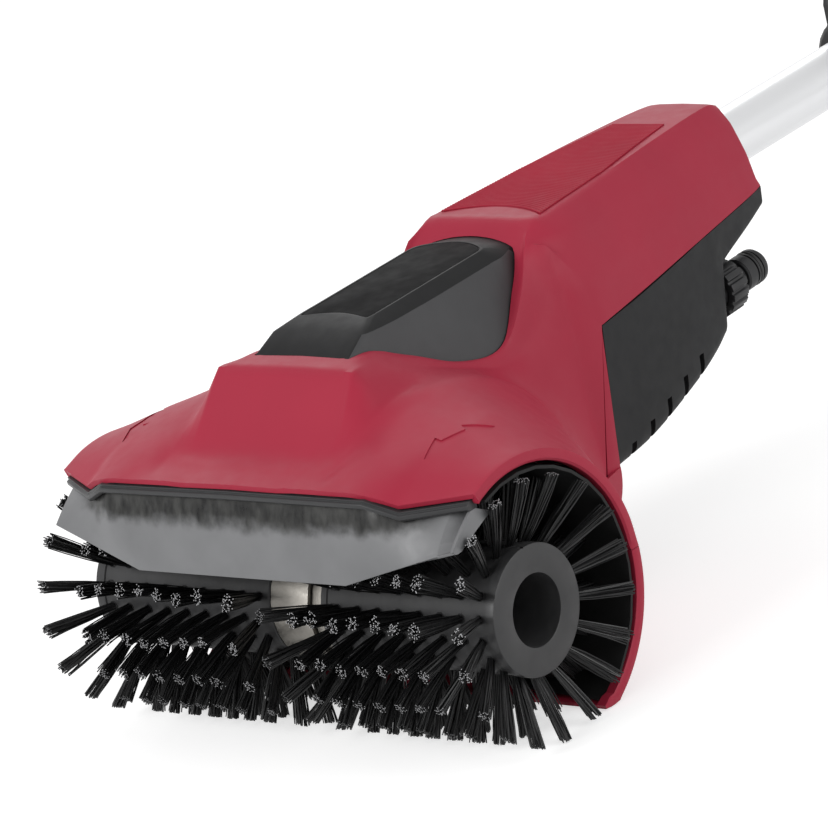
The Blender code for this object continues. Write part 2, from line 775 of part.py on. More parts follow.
def seam_strip(side):
    """Upright red strip between the upper shell and the dark lower shell."""
    outline = [(SEAM_FRONT_Y + 2 * GAP, -0.0020), (SEAM_FRONT_Y + STRIP_WIDTH - GAP, -0.0020),
               (SEAM_TOP_Y - 0.0004, SEAM_TOP_Z - 0.0020), (SEAM_TOP_Y - 0.0007, SEAM_TOP_Z - 0.0035)]
    low, high = sorted((side * (BODY_HALF - SHELL_WALL), side * BODY_HALF))
    return slab(outline, low, high, "YZ")


def make_liner(root):
    """Black inner arch round the brush, slotted for the gearbox arm."""
    outer = RIM_RADIUS - LINER_GAP
    angles = [math.radians(108 - 158 * step / 14) for step in range(15)]
    outline = [(outer * math.cos(a), outer * math.sin(a)) for a in angles]
    outline += [((outer - LINER_WALL) * math.cos(a), (outer - LINER_WALL) * math.sin(a))
                for a in reversed(angles)]
    end = HOOD_END - LINER_INSET
    liner = piece("hood_liner", slab(outline, -end, end, "YZ"), root, "black")
    cut(liner, arm_blade(ARM_SLOT_GAP, GEARBOX_RADIUS, RIM_RADIUS + CUT_EXTRA), root)


def over_seam(y):
    """Half width of the neck and a height just over its seam."""
    feet = [station[5] for station in NECK_STATIONS]
    ys = [foot[1] for foot in feet]
    return (float(np.interp(y, ys, [foot[0] for foot in feet])),
            float(np.interp(y, ys, [foot[2] + 2 * SEAM_OVERRUN for foot in feet])))


def make_lower_shell(root):
    """Dark belly of the neck, with its vents and the hole for the water inlet."""
    stations = ((SEAM_FRONT_Y + STRIP_WIDTH + GAP, FLOOR_FRONT_Z),) + FLOOR_STATIONS
    lean = (SEAM_TOP_Y - SEAM_FRONT_Y - STRIP_WIDTH) / SEAM_TOP_Z
    grid = {}
    for row, (y, floor) in enumerate(stations):
        half, seam = over_seam(y)
        depth = seam - floor
        share = max(0.0, 1 - row / 3)
        section = [(half, seam), (half - 0.0006, seam - 0.30 * depth), (half - 0.0022, seam - 0.70 * depth),
                   (half - 0.0055, seam - 0.92 * depth), (half - 0.0130, floor)]
        full = [(-x, z) for x, z in section] + section[::-1]
        for column, (x, z) in enumerate(full):
            grid[row, column] = Vector((x, y + lean * share * max(z, 0.0), z))
    last = len(stations)
    for column in range(10):
        grid[last, column] = toward_tube(grid[last - 1, column], TUBE_HOLE)
    shell = piece("lower_shell", sheet(grid), root, "dark")
    walled(shell, SHELL_WALL)
    cut(shell, side_of_seam(True), root)
    cut(shell, neck_hole(), root)
    wide = BODY_HALF + CUT_EXTRA
    for step in range(VENTS):
        y = VENT_FIRST_Y + VENT_PITCH * step
        z = VENT_FIRST_Z + VENT_RISE * step
        cut(shell, block((-wide, y, z), (wide, y + VENT_WIDTH, z + VENT_HEIGHT)), root)
    cut(shell, rod(INLET_RADIUS + GAP, inlet_point(-0.030), inlet_point(0.030)), root)


def inlet_direction():
    return Vector((0, math.cos(INLET_TILT), math.sin(INLET_TILT)))


def inlet_point(along):
    """Point on the axis of the water inlet."""
    return Vector((INLET_X, INLET_Y, INLET_Z)) + inlet_direction() * along


def arm_point(along):
    """Point on the axis of the gearbox arm and motor."""
    return Vector((0, math.cos(ARM_TILT) * along, math.sin(ARM_TILT) * along))


def arm_frame(along):
    """Matrix with local Z along the arm and local X along the brush."""
    return Matrix.Translation(arm_point(along)) @ Matrix.Rotation(ARM_TILT - math.pi / 2, 4, "X")


def arm_blade(grow, start, end):
    """Flat arm between the rollers, thin enough to pass the leaning tufts."""
    edge = ARM_DEPTH_HALF + grow
    outline = rounded([(-ARM_HALF - grow, -edge, 0.003), (ARM_HALF + grow, -edge, 0.003),
                       (ARM_HALF + grow, edge, 0.003), (-ARM_HALF - grow, edge, 0.003)], 1)
    bm = slab(outline, start, end, "XY")
    bm.transform(arm_frame(0))
    return bm


def make_gearbox(root):
    """Silver gearbox between the rollers, its cover and the arm to the motor."""
    inside = GEARBOX_RADIUS - GEARBOX_WALL
    left, right = -GEARBOX_LEFT, GEARBOX_RIGHT
    seat = BEARING_RADIUS + GAP
    shoulder = SHAFT_RADIUS + BEARING_SHOULDER
    web = left + BEARING_WIDTH + GAP
    floor = web + BEARING_WEB
    barrel = turned([(seat, left), (GEARBOX_RADIUS, left), (GEARBOX_RADIUS, right), (inside, right),
                     (inside, floor), (shoulder, floor), (shoulder, web), (seat, web)], (0, 0, 0), ALONG_X)
    housing = piece("gearbox_housing", barrel, root, "silver")
    join(housing, arm_blade(0.0, GEARBOX_RADIUS - 0.003, ARM_LENGTH - 0.002), root)
    join(housing, rod(FLANGE_RADIUS, arm_point(ARM_LENGTH - FLANGE_LENGTH), arm_point(ARM_LENGTH), 18), root)
    cut(housing, rod(ARM_BORE_RADIUS, arm_point(inside - 0.006), arm_point(ARM_LENGTH + 0.004)), root)
    cut(housing, rod(MOTOR_BOSS_RADIUS + GAP, arm_point(ARM_LENGTH - MOTOR_BOSS_LENGTH - GAP),
                     arm_point(ARM_LENGTH + 0.004)), root)
    start = right + GAP
    end = right + GEARBOX_COVER_WIDTH
    cover = turned([(shoulder, start + 0.0005), (GEARBOX_COVER_RADIUS, start + 0.0005),
                    (GEARBOX_COVER_RADIUS, end), (seat, end), (seat, end - BEARING_WIDTH),
                    (shoulder, end - BEARING_WIDTH)], (0, 0, 0), ALONG_X)
    piece("gearbox_cover", cover, root, "silver")
    bearing(root, "bearing_left", left + GAP, left + BEARING_WIDTH)
    bearing(root, "bearing_right", end - BEARING_WIDTH + GAP, end - GAP)


def bearing(carrier, name, start, end):
    """Sealed ball bearing drawn as one closed ring."""
    inner = SHAFT_RADIUS + GAP
    outline = [(inner, start), (BEARING_RADIUS, start), (BEARING_RADIUS, end), (inner, end)]
    piece(name, turned(outline, (0, 0, 0), ALONG_X, SMALL_SIDES), carrier, "steel")


def make_motor(root, drive):
    """Motor behind the gearbox and the shaft with its pinion."""
    start = ARM_LENGTH + GAP
    end = start + MOTOR_LENGTH
    hole = DRIVE_SHAFT_RADIUS + 0.0005
    edge = MOTOR_RADIUS - MOTOR_EDGE
    nose = start - MOTOR_BOSS_LENGTH
    tail = end + MOTOR_TAIL_LENGTH
    socket = start + SHAFT_SOCKET
    outline = [(hole, nose), (MOTOR_BOSS_RADIUS, nose), (MOTOR_BOSS_RADIUS, start), (edge, start),
               (MOTOR_RADIUS, start + MOTOR_EDGE), (MOTOR_RADIUS, end - MOTOR_EDGE), (edge, end),
               (MOTOR_BOSS_RADIUS, end), (MOTOR_BOSS_RADIUS, tail), (0, tail), (0, socket), (hole, socket)]
    direction = arm_point(1)
    piece("motor", turned(outline, (0, 0, 0), direction, SMALL_SIDES), root, "steel")
    ring = MOTOR_BOSS_RADIUS + GAP
    rear = end + END_CAP_LENGTH
    cap = turned([(ring, end + GAP), (MOTOR_RADIUS, end + GAP), (MOTOR_RADIUS, rear), (ring, rear)],
                 (0, 0, 0), direction, SMALL_SIDES)
    piece("motor_end_cap", cap, root, "black")
    shaft = rod(DRIVE_SHAFT_RADIUS, arm_point(PINION_START), arm_point(socket - 0.0023), SMALL_SIDES)
    piece("drive_shaft", shaft, drive, "steel")


def gear_outline(teeth, root_radius, tip_radius, root_share, tip_share, phase):
    """Closed outline of straight-sided teeth."""
    points = []
    pitch = 2 * math.pi / teeth
    for tooth in range(teeth):
        middle = phase + tooth * pitch
        for radius, share in ((root_radius, -root_share), (tip_radius, -tip_share),
                              (tip_radius, tip_share), (root_radius, root_share)):
            angle = middle + share * pitch
            points.append((radius * math.cos(angle), radius * math.sin(angle)))
    return points


def ring_between(outline, hole, low, high):
    """Extruded outline with a round hole whose side count matches the outline."""
    bm = bmesh.new()
    levels = []
    for z in (low, high):
        outer = [bm.verts.new((x, y, z)) for x, y in outline]
        inner = [bm.verts.new((hole * math.cos(math.atan2(y, x)), hole * math.sin(math.atan2(y, x)), z))
                 for x, y in outline]
        levels.append((outer, inner))
    bridge(bm, levels[0][0], levels[1][0])
    bridge(bm, levels[0][1], levels[1][1])
    for outer, inner in levels:
        bridge(bm, outer, inner)
    return bm


def make_gears(drive, roller):
    """Pinion on the drive shaft and the face gear on the output shaft."""
    outline = gear_outline(PINION_TEETH, PINION_RADIUS - TOOTH_DEPTH, PINION_RADIUS, 0.22, 0.12, 0.0)
    bm = ring_between(outline, DRIVE_SHAFT_RADIUS + GAP / 3, 0, PINION_FACE)
    bm.transform(arm_frame(PINION_START))
    piece("drive_pinion", bm, drive, "steel")
    teeth = PINION_TEETH * GEAR_RATIO
    face = PINION_RADIUS + GAP
    hole = SHAFT_RADIUS + GAP / 3
    back = face + FACE_GEAR_PLATE
    plate = turned([(hole, face), (FACE_GEAR_RADIUS, face), (FACE_GEAR_RADIUS, back), (hole, back)],
                   (0, 0, 0), ALONG_X)
    gear = piece("face_gear", plate, roller, "steel")
    inner, outer = PINION_START, PINION_START + PINION_FACE
    pitch = 2 * math.pi / teeth
    low, high = face - 0.0010, face + 0.0005
    half_root, half_tip = 0.20 * pitch * (inner + outer) / 2, 0.09 * pitch * (inner + outer) / 2
    for tooth in range(teeth):
        middle = ARM_TILT + (tooth + 0.5) * pitch
        bm = bmesh.new()
        rings = []
        for radius in (inner, outer):
            ring = []
            for x, across in ((high, -half_root), (low, -half_tip), (low, half_tip), (high, half_root)):
                y = radius * math.cos(middle) - across * math.sin(middle)
                z = radius * math.sin(middle) + across * math.cos(middle)
                ring.append(bm.verts.new((x, y, z)))
            rings.append(ring)
        bridge(bm, rings[0], rings[1])
        bm.faces.new(rings[0])
        bm.faces.new(rings[1])
        join(gear, bm, roller)


def make_roller(roller):
    """Output shaft, the two cores, their tufted backings and end screws."""
    seat = CORE_END - CORE_BORE_DEPTH
    reach = seat - 0.001
    piece("output_shaft", rod(SHAFT_RADIUS, (-reach, 0, 0), (reach, 0, 0), ROUND_SIDES), roller, "steel")
    halves = ((-1, "left", LEFT_CORE_START, LEFT_TUFT_TURN), (1, "right", RIGHT_CORE_START, RIGHT_TUFT_TURN))
    for side, name, start, turn in halves:
        direction = (side, 0, 0)
        under = CORE_RADIUS - BACKING_WALL - GAP
        ring_end = CORE_END - END_RING_WIDTH
        hole = SHAFT_RADIUS + GAP / 3
        ring_start = start + INNER_RING_WIDTH
        outline = [(hole, start), (CORE_RADIUS, start), (CORE_RADIUS, ring_start), (under, ring_start),
                   (under, ring_end), (CORE_RADIUS, ring_end), (CORE_RADIUS, CORE_END),
                   (CORE_BORE_RADIUS, CORE_END), (CORE_BORE_RADIUS, seat), (hole, seat)]
        piece(f"brush_core_{name}", turned(outline, (0, 0, 0), direction), roller, "dark")
        washer = seat + GAP + WASHER_LENGTH
        head = washer + SCREW_HEAD_LENGTH
        socket = washer + 0.0020
        screw = [(0, seat + GAP), (WASHER_RADIUS, seat + GAP), (WASHER_RADIUS, washer),
                 (SCREW_HEAD_RADIUS, washer), (SCREW_HEAD_RADIUS, head), (SOCKET_RADIUS, head),
                 (SOCKET_RADIUS, socket), (0, socket)]
        piece(f"brush_screw_{name}", turned(screw, (0, 0, 0), direction, 12), roller, "steel")
        make_bristles(roller, name, side, turn, ring_start + GAP, ring_end - GAP)


def tuft_columns(start):
    """Start, end and tip lean of each tuft along half a roller."""
    half = TUFT_LENGTH / 2
    low = start + GAP
    high = min(low + TUFT_LENGTH, FIRST_TUFT - half - GAP)
    columns = [(low, high, INNER_TIP_X - (low + high) / 2)]
    for step in range(STRAIGHT_TUFTS):
        middle = FIRST_TUFT + TUFT_PITCH * step
        columns.append((middle - half, middle + half, 0.0))
    last = FIRST_TUFT + TUFT_PITCH * (STRAIGHT_TUFTS - 0.15)
    columns.append((last - half, last + half, OUTER_LEAN))
    return columns


def make_bristles(roller, name, side, turn, start, end):
    """Tufted backing of one roller half, in sectors of whole rows round the core."""
    first = 0
    for number, rows in enumerate(SECTOR_ROWS):
        bm = sector(side, turn, first, rows, start, end)
        piece(f"bristles_{name}_{number + 1}", bm, roller, "black", 20)
        first += rows


def sector(side, turn, first, rows, start, end):
    """Slice of backing sleeve with a tuft raised from every second facet of each ring."""
    bm = bmesh.new()
    columns = tuft_columns(start)
    edges = [start]
    for low, high, _ in columns:
        edges += [low, high]
    edges.append(end)
    pitch = 2 * math.pi / TUFT_ROWS
    slit = GAP / 2 / CORE_RADIUS
    angles = [pitch * (first - 0.5) + slit]
    for row in range(first, first + rows):
        angles += [pitch * (row - 0.25), pitch * (row + 0.25)]
    angles.append(pitch * (first + rows - 0.5) - slit)
    angles = [angle + turn - math.pi / 2 for angle in angles]

    def line(x, radius):
        return [bm.verts.new((side * x, radius * math.cos(a), radius * math.sin(a))) for a in angles]

    outer = [line(x, CORE_RADIUS) for x in edges]
    inner = [line(x, CORE_RADIUS - BACKING_WALL) for x in (start, end)]
    for index in range(len(angles) - 1):
        after = index + 1
        bm.faces.new((inner[0][index], inner[0][after], inner[1][after], inner[1][index]))
        bm.faces.new((outer[0][index], outer[0][after], inner[0][after], inner[0][index]))
        bm.faces.new((outer[-1][index], outer[-1][after], inner[1][after], inner[1][index]))
        if index % 2 == 0:
            bm.faces.new([ring[index] for ring in outer] + [ring[after] for ring in reversed(outer)])
            continue
        for low in range(len(edges) - 1):
            quad = (outer[low][index], outer[low + 1][index], outer[low + 1][after], outer[low][after])
            if low % 2 == 0:
                bm.faces.new(quad)
            else:
                raise_tuft(bm, quad, side, columns[low // 2][2])
    for index in (0, -1):
        bm.faces.new([ring[index] for ring in outer] + [inner[1][index], inner[0][index]])
    return bm


def raise_tuft(bm, quad, side, lean):
    """Draw one tuft from its facet out to the tip radius."""
    middle = sum((vert.co for vert in quad), Vector()) / 4
    radial = Vector((0, middle.y, middle.z)).normalized()
    tip = Vector((middle.x + side * lean, 0, 0)) + radial * TIP_RADIUS
    tips = []
    for vert in quad:
        offset = vert.co - middle
        offset -= radial * offset.dot(radial)
        tips.append(bm.verts.new(tip + offset * TUFT_FLARE))
    for index in range(4):
        after = (index + 1) % 4
        bm.faces.new((quad[index], quad[after], tips[after], tips[index]))
    bm.faces.new(tips)


def make_splash_guard(root):
    """Smoky flap below the lip and the dark frame that holds it."""
    drop = SHELL_WALL + 3 * GAP
    stations = (0.0, GUARD_CENTRE_HALF * 0.5, GUARD_CENTRE_HALF, LIP_DIP_X - LIP_DIP_LENGTH, LIP_DIP_X,
                (LIP_DIP_X + GUARD_END) / 2, GUARD_END - 0.0010)
    grid = {}
    last = len(stations) - 1
    for index, x in enumerate(stations):
        lip_y, lip_z = lip_point(x)
        share = max(0.0, (x - GUARD_CENTRE_HALF) / (GUARD_END - GUARD_CENTRE_HALF))
        top = Vector((x, lip_y + 0.0030, lip_z - drop - FRAME_HEIGHT - 3 * GAP))
        bottom = Vector((x, GUARD_BOTTOM_Y + GUARD_END_BACK * share, GUARD_BOTTOM_Z + GUARD_END_RISE * share))
        for row in range(3):
            level = row / 2
            point = top.lerp(bottom, level)
            point.y -= GUARD_BOW * math.sin(math.pi * level)
            for column, flip in ((last + index, 1), (last - index, -1)):
                grid[row, column] = Vector((flip * point.x, point.y, point.z))
    flap = piece("splash_guard", sheet(grid), root, "smoke")
    walled(flap, GUARD_WALL)
    reach = HOOD_END - SHELL_WALL - 2 * GAP
    bm = bmesh.new()
    rings = []
    half = [0.0, LIP_DIP_X - LIP_DIP_LENGTH, LIP_DIP_X, (LIP_DIP_X + reach) / 2, reach]
    for x in [-x for x in reversed(half[1:])] + half:
        y, z = lip_point(x)
        z -= drop
        ring = [(y, z), (y + FRAME_DEPTH, z), (y + FRAME_DEPTH, z - FRAME_HEIGHT), (y, z - FRAME_HEIGHT)]
        rings.append([bm.verts.new((x, a, b)) for a, b in ring])
    for low, high in zip(rings, rings[1:]):
        bridge(bm, low, high)
    bm.faces.new(rings[0])
    bm.faces.new(rings[-1])
    piece("guard_frame", bm, root, "black")


def make_water(root, nut):
    """Inlet elbow, union nut, hose tail, seal, inner tube and spray bar."""
    direction = inlet_direction()
    inlet = pipe(INLET_RADIUS, NIPPLE_BORE_RADIUS, inlet_point(-0.012), inlet_point(0.010))
    piece("inlet_body", inlet, root, "black")
    ribs = gear_outline(NUT_RIBS, NUT_RADIUS - NUT_RIB_DEPTH, NUT_RADIUS, 0.30, 0.22, 0.0)
    bm = ring_between(ribs, INLET_RADIUS + GAP, 0, NUT_LENGTH)
    bm.transform(axis_frame(inlet_point(0.0), direction))
    piece("union_nut", bm, nut, "black")
    collar = INLET_RADIUS - 0.0006
    neck_start = NUT_LENGTH - 0.0100
    flange = NUT_LENGTH + 0.0030
    groove = flange + FLANGE_WIDTH
    nose = groove + GROOVE_WIDTH
    shoulder = nose + FLANGE_WIDTH + 0.0004
    tip = nose + NOSE_LENGTH
    floor = NIPPLE_RADIUS - GROOVE_DEPTH
    tail = [(NIPPLE_BORE_RADIUS, 0), (collar, 0), (collar, neck_start), (NIPPLE_NECK_RADIUS, neck_start),
            (NIPPLE_NECK_RADIUS, flange), (NIPPLE_RADIUS, flange), (NIPPLE_RADIUS, groove), (floor, groove),
            (floor, nose), (NIPPLE_RADIUS, nose), (NIPPLE_RADIUS, shoulder), (NIPPLE_RADIUS - NOSE_TAPER, tip),
            (NIPPLE_BORE_RADIUS, tip)]
    seat = 0.0100 + GAP
    piece("hose_tail", turned(tail, inlet_point(seat), direction, SMALL_SIDES), root, "black")
    seal_low, seal_high = floor + 0.0002, NIPPLE_RADIUS - 0.0002
    seal = [(seal_low, GAP), (seal_high, GAP), (seal_high, GROOVE_WIDTH - GAP), (seal_low, GROOVE_WIDTH - GAP)]
    piece("seal_ring", turned(seal, inlet_point(seat + groove), direction, SMALL_SIDES), root, "black")
    bar_y = SPRAY_RING_RADIUS * math.cos(SPRAY_ANGLE)
    bar_z = SPRAY_RING_RADIUS * math.sin(SPRAY_ANGLE)
    entry = inlet_point(-0.0100)
    route = [entry, entry - direction * 0.012, (0.0285, 0.226, 0.033), (0.0345, 0.180, 0.034),
             (0.0340, 0.140, 0.048), (0.0300, 0.100, 0.058), (0.0240, 0.066, 0.0655),
             (0.0180, 0.034, 0.0685), (0.0120, 0.012, 0.0698),
             (0.0100, bar_y + SPRAY_BAR_RADIUS + 2 * GAP, bar_z)]
    smooth = refine(np.array([list(point) for point in route]), 2)
    piece("water_tube", swept(smooth, [WATER_TUBE_RADIUS] * len(smooth), 6), root, "black")
    bar = rod(SPRAY_BAR_RADIUS, (-SPRAY_BAR_HALF, bar_y, bar_z), (SPRAY_BAR_HALF, bar_y, bar_z), 8)
    made = piece("spray_bar", bar, root, "black")
    inward = Vector((0, -math.cos(SPRAY_ANGLE), -math.sin(SPRAY_ANGLE)))
    for index in range(NOZZLES):
        x = SPRAY_BAR_HALF * (2 * (index + 0.5) / NOZZLES - 1)
        start = Vector((x, bar_y, bar_z)) + inward * (SPRAY_BAR_RADIUS - 0.001)
        join(made, rod(NOZZLE_RADIUS, start, start + inward * 0.0042, 6), root)


def pin(middle, radius, half):
    """Rod across the tool, centred on a point."""
    return rod(radius, middle - Vector((half, 0, 0)), middle + Vector((half, 0, 0)), 12)


def make_pole(root, upper, lever):
    """Both tubes, the socket in the neck and the telescopic clamp."""
    inner = pipe(TUBE_RADIUS, TUBE_RADIUS - TUBE_WALL, (0, TUBE_START, POLE_Z), (0, TUBE_END, POLE_Z),
                 ROUND_SIDES)
    piece("lower_tube", inner, root, "aluminium")
    socket = block((-0.0190, NECK_END - SHELL_WALL - GAP - SOCKET_LENGTH, POLE_Z - 0.0180),
                   (0.0190, NECK_END - SHELL_WALL - GAP, POLE_Z + 0.0155), 0.003, 1)
    made = piece("tube_socket", socket, root, "black")
    cut(made, rod(TUBE_HOLE, (0, 0.2, POLE_Z), (0, 0.4, POLE_Z), ROUND_SIDES), root)
    piece("upper_tube", pipe(OUTER_TUBE_RADIUS, TUBE_RADIUS + GAP * 1.5, (0, OUTER_TUBE_START, POLE_Z),
                             (0, OUTER_TUBE_END, POLE_Z), ROUND_SIDES), upper, "aluminium")
    end = CLAMP_START + CLAMP_LENGTH
    hole = TUBE_RADIUS + GAP * 1.5
    step = OUTER_TUBE_START - GAP
    slim = CLAMP_RADIUS - CLAMP_TAPER
    slim_start = end - CLAMP_STEP + CLAMP_TAPER
    tube = OUTER_TUBE_RADIUS + GAP
    collar = turned([(hole, CLAMP_START), (slim, CLAMP_START), (CLAMP_RADIUS, CLAMP_START + CLAMP_TAPER),
                     (CLAMP_RADIUS, end - CLAMP_STEP), (slim, slim_start), (slim, end), (tube, end),
                     (tube, step), (hole, step)], (0, 0, POLE_Z), ALONG_Y)
    made = piece("pole_clamp", collar, upper, "black")
    top = POLE_Z + CLAMP_RADIUS
    pivot = Vector(lever["origin"])
    for side in (-1, 1):
        low, high = sorted((side * (LEVER_WIDTH / 2 + GAP), side * (LEVER_WIDTH / 2 + EAR_WIDTH)))
        front, back = pivot.y - EAR_HALF, pivot.y + EAR_HALF
        crown = pivot.z + LEVER_PIN_RADIUS * 2
        ear = rounded([(front, top - EAR_HALF, 0), (back, top - EAR_HALF, 0), (back, crown, 0.004),
                       (front, crown, 0.004)], 2)
        join(made, slab(ear, low, high, "YZ"), upper)
    cut(made, pin(pivot, LEVER_PIN_RADIUS + GAP, 0.03), upper)
    piece("lever_pin", pin(pivot, LEVER_PIN_RADIUS, LEVER_WIDTH / 2 + EAR_WIDTH), upper, "steel")
    low_z = top + 0.0008
    heel = LEVER_PIN_RADIUS + 0.0020
    tip = pivot.y + LEVER_LENGTH
    arm = rounded([(pivot.y - heel, low_z, 0.0035), (tip - 0.008, low_z, 0.002), (tip, low_z + 0.004, 0.002),
                   (tip, low_z + LEVER_THICKNESS, 0.001), (tip - 0.010, low_z + LEVER_THICKNESS - 0.002, 0.002),
                   (pivot.y + heel, pivot.z + heel, 0.003), (pivot.y - heel, pivot.z + heel, 0.003)], 3)
    made = piece("clamp_lever", slab(arm, -LEVER_WIDTH / 2, LEVER_WIDTH / 2, "YZ"), lever, "dark")
    cut(made, pin(pivot, LEVER_PIN_RADIUS + GAP, 0.03), lever)


def bail_arm(side, foot, pivot):
    """One half of the bent bail, from its hub up and in to the middle of the grip."""
    path = rounded([(foot, 0.0, 0), (foot, BAIL_FOOT_RISE, 0.030), (BAIL_HALF, BAIL_WIDE_RISE, 0.030),
                    (BAIL_HALF - BAIL_TAPER, BAIL_RISE, 0.022), (GAP / 2, BAIL_RISE, 0)], 3)
    radii = [BAIL_FOOT_RADIUS if rise < BAIL_FOOT_RISE * 0.7 else BAIL_RADIUS for _, rise in path]
    return swept([pivot + Vector((side * x, 0, rise)) for x, rise in path], radii, 8)


def make_front_handle(upper, bail, knob):
    """Clamp blocks on the tube, the tilting bail with its grip and the knob."""
    pivot = Vector(bail["origin"])
    low_y = GRIP_CLAMP_Y - GRIP_CLAMP_LENGTH / 2
    high_y = GRIP_CLAMP_Y + GRIP_CLAMP_LENGTH / 2
    tube = OUTER_TUBE_RADIUS + GAP
    bm = block((-GRIP_CLAMP_HALF, low_y, POLE_Z + GAP),
               (GRIP_CLAMP_HALF, high_y, pivot.z + GRIP_CLAMP_CROWN), GRIP_CLAMP_EDGE)
    upper_block = piece("grip_clamp_upper", bm, upper, "black")
    cut(upper_block, rod(tube, (0, low_y - 0.01, POLE_Z), (0, high_y + 0.01, POLE_Z), ROUND_SIDES), upper)
    bore = BOLT_RADIUS + GAP
    cut(upper_block, pin(pivot, bore, 0.05), upper)
    bm = block((-GRIP_CLAMP_HALF, low_y, POLE_Z - tube - GRIP_CLAMP_FLOOR),
               (GRIP_CLAMP_HALF, high_y, POLE_Z - GAP), GRIP_CLAMP_EDGE)
    lower_block = piece("grip_clamp_lower", bm, upper, "black")
    cut(lower_block, rod(tube, (0, low_y - 0.01, POLE_Z), (0, high_y + 0.01, POLE_Z), ROUND_SIDES), upper)
    foot = GRIP_CLAMP_HALF + HUB_HALF + 2 * GAP
    for side, name in ((-1, "left"), (1, "right")):
        arm = piece(f"bail_arm_{name}", bail_arm(side, foot, pivot), bail, "black")
        hub = Vector((side * foot, 0, 0)) + pivot
        join(arm, rod(HUB_RADIUS, hub - Vector((HUB_HALF, 0, 0)), hub + Vector((HUB_HALF, 0, 0))), bail)
        cut(arm, pin(pivot, bore, 0.08), bail)
    crown = pivot + Vector((0, 0, BAIL_RISE))
    sleeve = pipe(BAIL_GRIP_RADIUS, BAIL_RADIUS + GAP, crown - Vector((BAIL_GRIP_HALF, 0, 0)),
                  crown + Vector((BAIL_GRIP_HALF, 0, 0)))
    piece("bail_grip", sleeve, bail, "black")
    start = foot + HUB_HALF + 2 * GAP
    bolt = turned([(0, -start - BOLT_HEAD_LENGTH), (BOLT_HEAD_RADIUS, -start - BOLT_HEAD_LENGTH),
                   (BOLT_HEAD_RADIUS, -start), (BOLT_RADIUS, -start), (BOLT_RADIUS, start + BOLT_OVERHANG),
                   (0, start + BOLT_OVERHANG)], pivot, ALONG_X, 12)
    piece("grip_bolt", bolt, upper, "steel")
    lobes = gear_outline(6, KNOB_RADIUS - 0.0035, KNOB_RADIUS, 0.36, 0.20, 0.0)
    bm = ring_between(lobes, BOLT_RADIUS + GAP, 0, KNOB_LENGTH)
    bm.transform(axis_frame(pivot + Vector((start, 0, 0)), ALONG_X))
    piece("grip_knob", bm, knob, "black")


def handle_outline():
    """Outer outline of the rear handle seen from the side."""
    top = POLE_Z + HANDLE_TOP
    return rounded([
        (HANDLE_START, POLE_Z + NOSE_DROP - 0.001, 0.006),
        (HANDLE_START, POLE_Z - NOSE_DROP, 0.008),
        (HANDLE_START + 0.058, POLE_Z - NOSE_DROP - 0.006, 0.030),
        (HANDLE_START + LOOP_FRONT - 0.030, HANDLE_BASE_Z + 0.022, 0.020),
        (HANDLE_START + LOOP_FRONT - 0.022, HANDLE_BASE_Z, 0.007),
        (HANDLE_END, HANDLE_BASE_Z, 0.010),
        (HANDLE_END - 0.004, POLE_Z - 0.012, 0.030),
        (HANDLE_END - 0.018, top - 0.004, 0.022),
        (HANDLE_START + 0.060, top + 0.003, 0.040),
    ], 2)


def make_rear_handle(upper, trigger, lock, latch, battery):
    """D-shaped housing halves, controls, dock and battery."""
    outline = handle_outline()
    opening = rounded([
        (HANDLE_START + LOOP_FRONT, LOOP_FLOOR_Z, 0.012),
        (HANDLE_START + LOOP_REAR, LOOP_FLOOR_Z, 0.014),
        (HANDLE_START + LOOP_REAR - 0.002, LOOP_ROOF_Z, 0.018),
        (HANDLE_START + LOOP_FRONT - 0.004, LOOP_ROOF_Z + 0.003, 0.012),
    ], 2)
    trigger_at = Vector(trigger["origin"])
    lock_at = Vector(lock["origin"])
    for side, name in ((-1, "left"), (1, "right")):
        bm = bmesh.new()
        rings = []
        for x, inset in ((GAP / 2, 0.0), (HANDLE_HALF - 0.0040, 0.0), (HANDLE_HALF, 0.0036)):
            rings.append([bm.verts.new((side * x, y, z)) for y, z in inset_outline(outline, inset)])
        for low, high in zip(rings, rings[1:]):
            bridge(bm, low, high)
        bm.faces.new(rings[0])
        bm.faces.new(rings[-1])
        half = piece(f"handle_{name}", bm, upper, "red")
        cut(half, slab(opening, -HANDLE_HALF - CUT_EXTRA, HANDLE_HALF + 2 * CUT_EXTRA, "YZ"), upper)
        cut(half, rod(OUTER_TUBE_RADIUS + GAP, (0, HANDLE_START - 0.01, POLE_Z),
                      (0, OUTER_TUBE_END + 0.001, POLE_Z), ROUND_SIDES), upper)
        cut(half, trigger_well(trigger_at), upper)
        cut(half, pin(lock_at, LOCK_RADIUS + GAP, 0.05), upper)
    make_trigger(trigger)
    length = HANDLE_HALF + LOCK_PROUD
    button = rod(LOCK_RADIUS, lock_at - Vector((length, 0, 0)), lock_at + Vector((length - 0.003, 0, 0)), 12)
    piece("lock_off_button", button, lock, "dark")
    wide, deep, tall = SWITCH_SIZE
    switch_low = Vector((-wide / 2, trigger_at.y + 0.010, trigger_at.z + 0.0030))
    piece("switch", block(switch_low, switch_low + Vector((wide, deep, tall)), 0.001, 1), upper, "black")
    make_battery(upper, battery, latch)


def inset_outline(outline, inset):
    """Move each point of an outline inward along its corner's bisector."""
    if inset == 0:
        return outline
    points = []
    count = len(outline)
    for index, point in enumerate(outline):
        before = Vector(outline[index - 1])
        after = Vector(outline[(index + 1) % count])
        along = (after - before).normalized()
        points.append((point[0] - along.y * inset, point[1] + along.x * inset))
    return points


